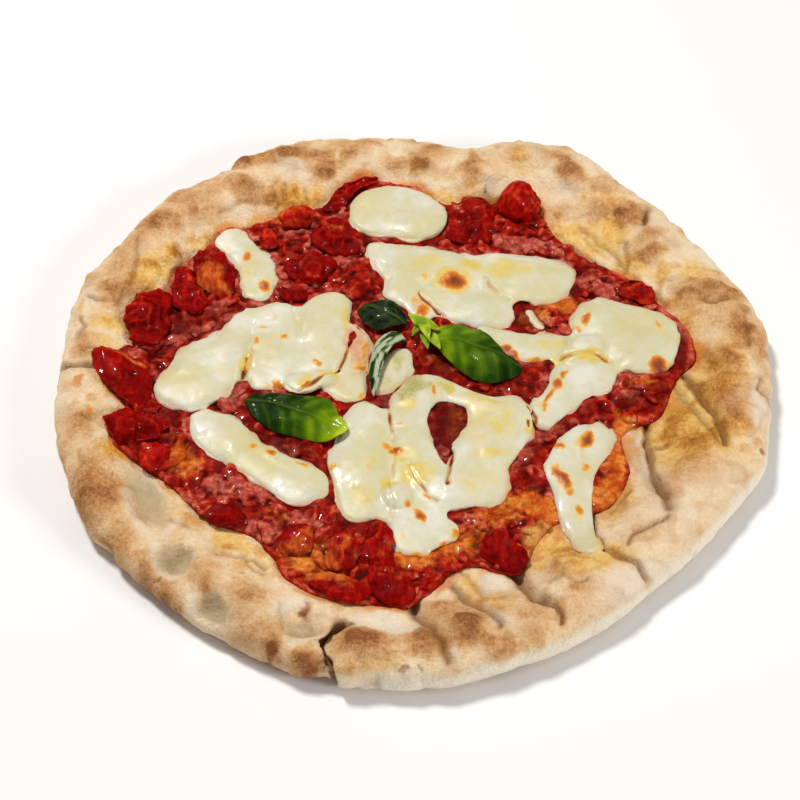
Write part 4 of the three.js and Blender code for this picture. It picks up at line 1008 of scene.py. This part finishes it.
def run_together(parts):
    """Spreads each piece sideways, further where another of the group is near."""
    skins = [surface_of(part) for part in parts]
    for part, own in zip(parts, skins):
        p, outward, _ = measured(part)
        flat = outward * np.array([1, 1, 0])
        length = np.linalg.norm(flat, axis=1)
        side = ease(0.4, 0.9, length)
        spread = np.full(len(p), CHEESE_SPREAD)
        for skin in skins:
            if skin is not own:
                gap = gaps(skin, p, np.flatnonzero(side > 0.1), CHEESE_GAP)
                spread = np.where(gap < np.inf, np.maximum(spread, 0.6 * gap + 0.7), spread)
        write(part, p + flat / np.maximum(length, 0.001)[:, None] * (side * spread)[:, None])


def bridge(x, y, half_x, half_y, z, half_z):
    """A flat lump that fills a gap between pieces."""
    points, faces = blob(3)
    return heap("bridge", [points * 2 * np.array([half_x, half_y, half_z]) + (*(MIDDLE + (x, y)), z)], faces)


def thickness(points, surface):
    """How far each point is above a surface; over the bare dough, above the height of the sauce."""
    found = np.maximum(points[:, 2] - SAUCE_TOP, 0)
    for i, (x, y, z) in enumerate(points):
        place = dropped(surface, x, y)[0]
        if place is not None:
            found[i] = max(0, z - place.z)
    return found


def cheese(name, parts, sauce_surface):
    nodes = ["mozzarella_" + part for part in parts]
    pieces = [settled(node) for node in nodes]
    run_together(pieces)
    pieces += [bridge(*place) for place in BRIDGES.get(name, [])]
    obj = joined(pieces, "cheese_" + name)
    fuse(obj, CHEESE_VOXEL, 14)
    p, outward, xy = measured(obj)
    valley = ease(0.15, 0.7, neighbours_mean(obj, p[:, 2], 14) - p[:, 2])
    top = ease(0.2, 0.9, outward[:, 2])
    side = (1 - top) * (1 - ease(0.3, 0.9, -outward[:, 2]))
    near_side = np.clip(2.2 * neighbours_mean(obj, side, 14), 0, 1)
    brown = marks(xy, BROWNED, 1.4, 0.85)
    thinned = marks(xy, PINKED)
    lift = 0.5 * noise(p, 12, 60) + 0.22 * noise(p, 5.5, 61) + 0.08 * noise(p, 2.6, 62) - 0.5 * near_side
    lift += brown * (0.3 + 0.35 * noise(p, 2.2, 63)) - 0.7 * thinned
    seam = np.zeros(len(p))
    wander = wandering(xy, 1.0, 6, 64)
    broken = np.clip(0.9 + 0.7 * noise(xy, 5, 69), 0.4, 1.2)
    for path, width, depth, dark in SEAMS:
        d = path_distance(wander, path) / broken
        lift += 0.12 * depth * bell(d - 2 * width, width) - 0.5 * depth * bell(d, width)
        seam = np.maximum(seam, dark * broken * bell(d, 0.7 * width))
    out = 1.5 * noise(xy, 8, 66) + 0.8 * noise(xy, 3.6, 67)
    shaped = swollen(p, outward, lift * top, side * out)
    write(obj, shaped)
    thin = 1 - ease(0.5, 2.6, thickness(shaped, sauce_surface) + 0.5 * noise(p, 4, 68))
    rim = near_side * np.clip(0.5 + 0.4 * noise(xy, 9, 70), 0, 1)
    pink = np.maximum.reduce([thinned, 0.6 * valley * top, thin * (0.3 + 0.5 * side), rim])
    paint(obj, brown=brown, oil=marks(xy, OILED), olive=marks(xy, OLIVE), seam=seam * top, pink=pink)
    finish_piece(obj, CHEESE_FINISH, "melted_mozzarella", *nodes)
    return obj


# ---- the tomato chunks ----
# Orange and deep red places on the chunks.
ORANGE_TOMATO = [
    (-90, 51, 6.5, 8, .8, 10), (-84, 46, 5, 3, .9), (-60, 96, 6, 3, .8), (-36, 82, 5, 4, .5),
    (-47, -91, 4, 3, .7), (-128, 5, 8, 1.6, .8, -10), (-117, 1, 8, 1.6, .8, -10), (-45, -91, 7, 5, .6),
    (-33, -98, 6, 8, .6), (-30, -105, 9, 4.5, .7), (-26, -110, 4, 4, .5), (-43, -84, 3, 3, .6),
    (-12, -92, 4, 6, .35), (-6, -104, 4, 4, .4), (-27, -90, 3, 5, .6), (-38, -86, 4, 3, .4),
    (-22, -97, 4, 5, .4), (-38, -104, 6, 4, .9, -20), (20, -88, 2, 5, .4),
]
DEEP_TOMATO = [
    (-110, 22, 8, 8, .6), (-118, -13, 14, 6, .9, 10), (-46, 60, 7, 5, .8), (-50, 88, 5, 4, .9),
    (-32, 72, 8, 6, .7), (34, -96, 8, 3, .6), (27, -87, 5, 6, .7), (24, 84, 8, 6, .5),
    (-112, -38, 8, 4, .7), (-88, 53, 1.5, 6, .8, 25), (-82, 56, 3, 5, .9), (-93, 61, 4, 3, .9),
    (-12, -108, 6, 5, .5), (96, 44, 6, 4, .5),
]
# How bright a chunk's red is, where it isn't 0.
FRESH = {"tomato_back_orange": 0.9, "tomato_back_small": 0.7, "tomato_right_bank": 0.5,
         "tomato_standing": 0.45, "tomato_wedge": 0.1, "tomato_cube": 0.5}
# How crumpled a firmer chunk is, where the others are 1.
CRUMPLED = {"tomato_front_right": 0.75, "tomato_standing": 0.55, "tomato_wedge": 0.35,
            "tomato_cube": 0.5, "tomato_bottom_left": 0.6, "tomato_front_left": 0.6}


def tomato(node):
    obj = form_of(node, node.replace("tomato", "tomato_chunk"), 3)
    p, outward, xy = measured(obj)
    crumpled = CRUMPLED.get(node, 1)
    under = ease(0.3, 0.9, -outward[:, 2])
    side = 1 - ease(0.4, 0.9, np.abs(outward[:, 2]))
    lift = 3.2 * (0.25 - np.abs(noise(p, 9, 80))) + 1.4 * (0.25 - np.abs(noise(p, 4.5, 81)))
    lift += 1.2 * noise(p, 6, 85) + 0.35 * noise(p, 2.4, 82) + 0.12 * noise(p, 1.3, 83)
    lift *= crumpled
    lift += 0.35 * (0.25 - np.abs(noise(p, 3.6, 87))) + 0.3 * noise(p, 2.4, 88)
    shaped = swollen(p, outward, lift * (1 - under), side * (1.0 + 1.2 * crumpled * noise(xy, 6, 84)))
    shaped[:, 2] -= 0.8 * under
    write(obj, shaped)
    low = 1 - ease(10.5, 14, p[:, 2] + 1.2 * noise(p, 4, 86))
    paint(obj, orange=marks(xy, ORANGE_TOMATO), low=np.maximum(low, marks(xy, DEEP_TOMATO)),
          fresh=FRESH.get(node, 0),
          rise=0.5 + 0.8 * (shaped[:, 2] - neighbours_mean(obj, shaped[:, 2], 14)))
    finish_piece(obj, TOMATO_FINISH, "tomato_flesh", node)


# ---- the basil ----
BEYOND_RIB = 20        # a midrib's first and last stretch count this much further
BUD_VOXEL = 0.34
# Each leaf's midrib from base to tip, how far apart its side veins are, how pale its underside shows, and
# how bright it is at places along it.
LEAVES = {
    "basil_front": dict(rib=[(-69, -18), (-50, -24), (-27, -34)], veins=6.5, pale=0,
                        bright=[(0, .1), (.45, .28), (.75, .62), (1, 1)]),
    "basil_back": dict(rib=[(-4, 24), (-14, 29), (-24, 37)], veins=4.5, pale=0.03,
                       bright=[(0, 0), (1, .02)]),
    "basil_curled": dict(rib=[(-5, 17), (-14, 8), (-17.5, -15)], veins=5, pale=0.9,
                         bright=[(0, .3), (1, .1)]),
    "basil_right": dict(rib=[(6, 17), (24, 9), (45, 1)], veins=7, pale=0,
                        bright=[(0, .82), (.35, .52), (.7, .32), (1, .02)]),
}


def along_rib(xy, rib):
    """How far each point is along a midrib, across it with a sign, and from it; and the rib's length."""
    rib = np.array(rib, float)
    steps = np.linalg.norm(np.diff(rib, axis=0), axis=1)
    start = np.concatenate([[0], np.cumsum(steps)])
    along, across, away = np.zeros(len(xy)), np.zeros(len(xy)), np.full(len(xy), np.inf)
    for i, step in enumerate(steps):
        way = (rib[i + 1] - rib[i]) / step
        low = 0 if i else -BEYOND_RIB
        high = step if i + 1 < len(steps) else step + BEYOND_RIB
        t = np.clip((xy - rib[i]) @ way, low, high)
        off = xy - rib[i] - t[:, None] * way
        d = np.linalg.norm(off, axis=1)
        closer = d < away
        along = np.where(closer, start[i] + t, along)
        across = np.where(closer, np.sign(way[0] * off[:, 1] - way[1] * off[:, 0]) * d, across)
        away = np.where(closer, d, away)
    return along, across, away, start[-1]


def leaf(node):
    facts = LEAVES[node]
    obj = form_of(node, node.replace("basil", "leaf"), 3)
    p, _, xy = measured(obj)
    along, across, away, length = along_rib(xy, facts["rib"])
    ahead = along + 1.4 * noise(xy, 9, 95) - 0.8 * away + 0.02 * away ** 2
    ahead += 0.35 * facts["veins"] * (across > 0)
    beat = np.abs(((ahead / facts["veins"]) % 1) - 0.5) * 2
    side_vein = bell(1 - beat, 0.16) * ease(0.2, 1.2, away)
    rib_line = bell(away, 0.7)
    puff = np.sin(np.pi * np.clip(beat, 0, 1) * 0.5) ** 2 * ease(0.6, 3.0, away)
    lift = 0.3 * puff - 0.12 * side_vein - 0.5 * rib_line + 0.25 * noise(p, 4, 90) + 0.1 * noise(p, 2, 93)
    write(obj, p + np.outer(lift, [0, 0, 1]))
    bright = np.interp(along / length, *zip(*facts["bright"]))
    streak = noise(np.column_stack([0.35 * along, 1.6 * across]), 1.6, 92)
    # the puffs between the veins are painted a little brighter: a painted highlight
    paint(obj, bright=bright + 0.15 * noise(xy, 5, 91) + 0.12 * puff - 0.06,
          vein=np.maximum(0.4 * side_vein, rib_line),
          pale=facts["pale"] * ease(-0.25, 0.35, streak + 0.12))
    finish_piece(obj, LEAF_FINISH, "basil_leaf", node)


# The bud's small leaves: base x, y, z, tip x, y, z and width.
LEAFLETS = [
    (4, 19, 14, -3.5, 27, 17, 6.4), (2, 25, 14.5, 5.5, 11, 17.5, 6.4), (1, 23, 13.5, 10.5, 17, 17, 6),
    (4, 18, 13.5, 10.5, 7, 16, 6), (3, 19, 13, 5, 8, 15, 5), (3, 23, 13, -2, 15, 15.5, 4.5),
    (-1, 23, 13, 7, 22, 18, 5),
]


def bud():
    """A cluster of small folded leaves, fused where they meet."""
    shape, faces = blob(3)
    lumps = []
    for x0, y0, z0, x1, y1, z1, width in LEAFLETS:
        base, tip = np.array([x0, y0 + MIDDLE[1], z0]), np.array([x1, y1 + MIDDLE[1], z1])
        length = np.linalg.norm(tip - base)
        along = (tip - base) / length
        across = np.cross([0, 0, 1], along)
        across /= np.linalg.norm(across)
        t = shape[:, 0] + 0.5
        narrow = 1 - 0.6 * t ** 2
        fold = 0.28 * width * np.abs(shape[:, 1] * 2) * narrow
        points = base + np.outer(t * length, along)
        points += np.outer(shape[:, 1] * width * narrow, across)
        points += np.outer(shape[:, 2] * 1.3 + fold + 1.2 * np.sin(np.pi * t), np.cross(along, across))
        lumps.append(points)
    obj = heap("leaf_bud", lumps, faces)
    fuse(obj, BUD_VOXEL, 2)
    p = read(obj)
    paint(obj, bright=0.55 + 0.07 * (p[:, 2] - 14) + 0.22 * noise(p, 2.5, 94), vein=0, pale=0.04)
    finish_piece(obj, LEAF_FINISH, "basil_leaf", "basil_bud")


# ---- camera, light and floor ----
VIEW_HEIGHT = math.radians(49)
VIEW_DISTANCE = 700


def camera():
    target = Vector((*MIDDLE, 8)) * MM
    forward = Vector((0, math.cos(VIEW_HEIGHT), -math.sin(VIEW_HEIGHT)))
    data = bpy.data.cameras.new("camera")
    data.lens = 75
    data.sensor_width = 36
    data.shift_x = -0.02
    data.shift_y = -0.0311
    obj = linked("camera", data)
    obj.location = target - forward * VIEW_DISTANCE * MM
    obj.rotation_euler = (math.pi / 2 - VIEW_HEIGHT, 0, 0)
    bpy.context.scene.camera = obj


def area_light(name, place, power, size, colour):
    """A soft panel that faces the pizza."""
    data = bpy.data.lights.new(name, "AREA")
    data.shape = "DISK"
    data.size = size
    data.energy = power
    data.color = colour
    obj = linked(name, data)
    obj.location = place
    obj.rotation_euler = (-Vector(place)).to_track_quat("-Z", "Y").to_euler()


def studio():
    area_light("back_window", (-0.5, 0.45, 1.35), 17, 0.3, (1.0, 0.98, 0.95))
    area_light("right_panel", (1.1, -0.7, 0.6), 9, 0.4, (1.0, 0.98, 0.96))
    world = bpy.data.worlds.new("studio")
    world.use_nodes = True
    world.node_tree.nodes["Background"].inputs["Color"].default_value = (1, 1, 1, 1)
    world.node_tree.nodes["Background"].inputs["Strength"].default_value = 0.28
    bpy.context.scene.world = world
    bpy.ops.object.select_all(action="DESELECT")
    bpy.ops.mesh.primitive_plane_add(size=6, location=(0, 0, -0.0002))
    floor = bpy.context.object
    floor.name = "floor"
    finish = Finish("floor_white", Roughness=0.9, Specular_IOR_Level=0.1)
    finish.colour = finish.ramp(finish.grain(400) + 0.5, (0, 243.4, 243.4, 243.4), (1, 245.8, 245.8, 245.8))
    floor.data.materials.append(finish.done())
    bpy.context.scene.view_settings.view_transform = "Standard"


SAUCE_FINISH = tomato_sauce()
CHEESE_FINISH = melted_mozzarella()
TOMATO_FINISH = tomato_flesh()
LEAF_FINISH = basil_leaf()

sauce_layer = sauce()
open_sauce = surface_of(sauce_layer)
crust(open_sauce)
cheeses = surface_of(*[cheese(name, parts, open_sauce) for name, parts in CHEESES.items()])
paint_sauce(sauce_layer, cheeses)
pulp(open_sauce, cheeses)
for node_name in sorted(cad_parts):
    if node_name.startswith("tomato"):
        tomato(node_name)
for node_name in LEAVES:
    leaf(node_name)
bud()
camera()
studio()
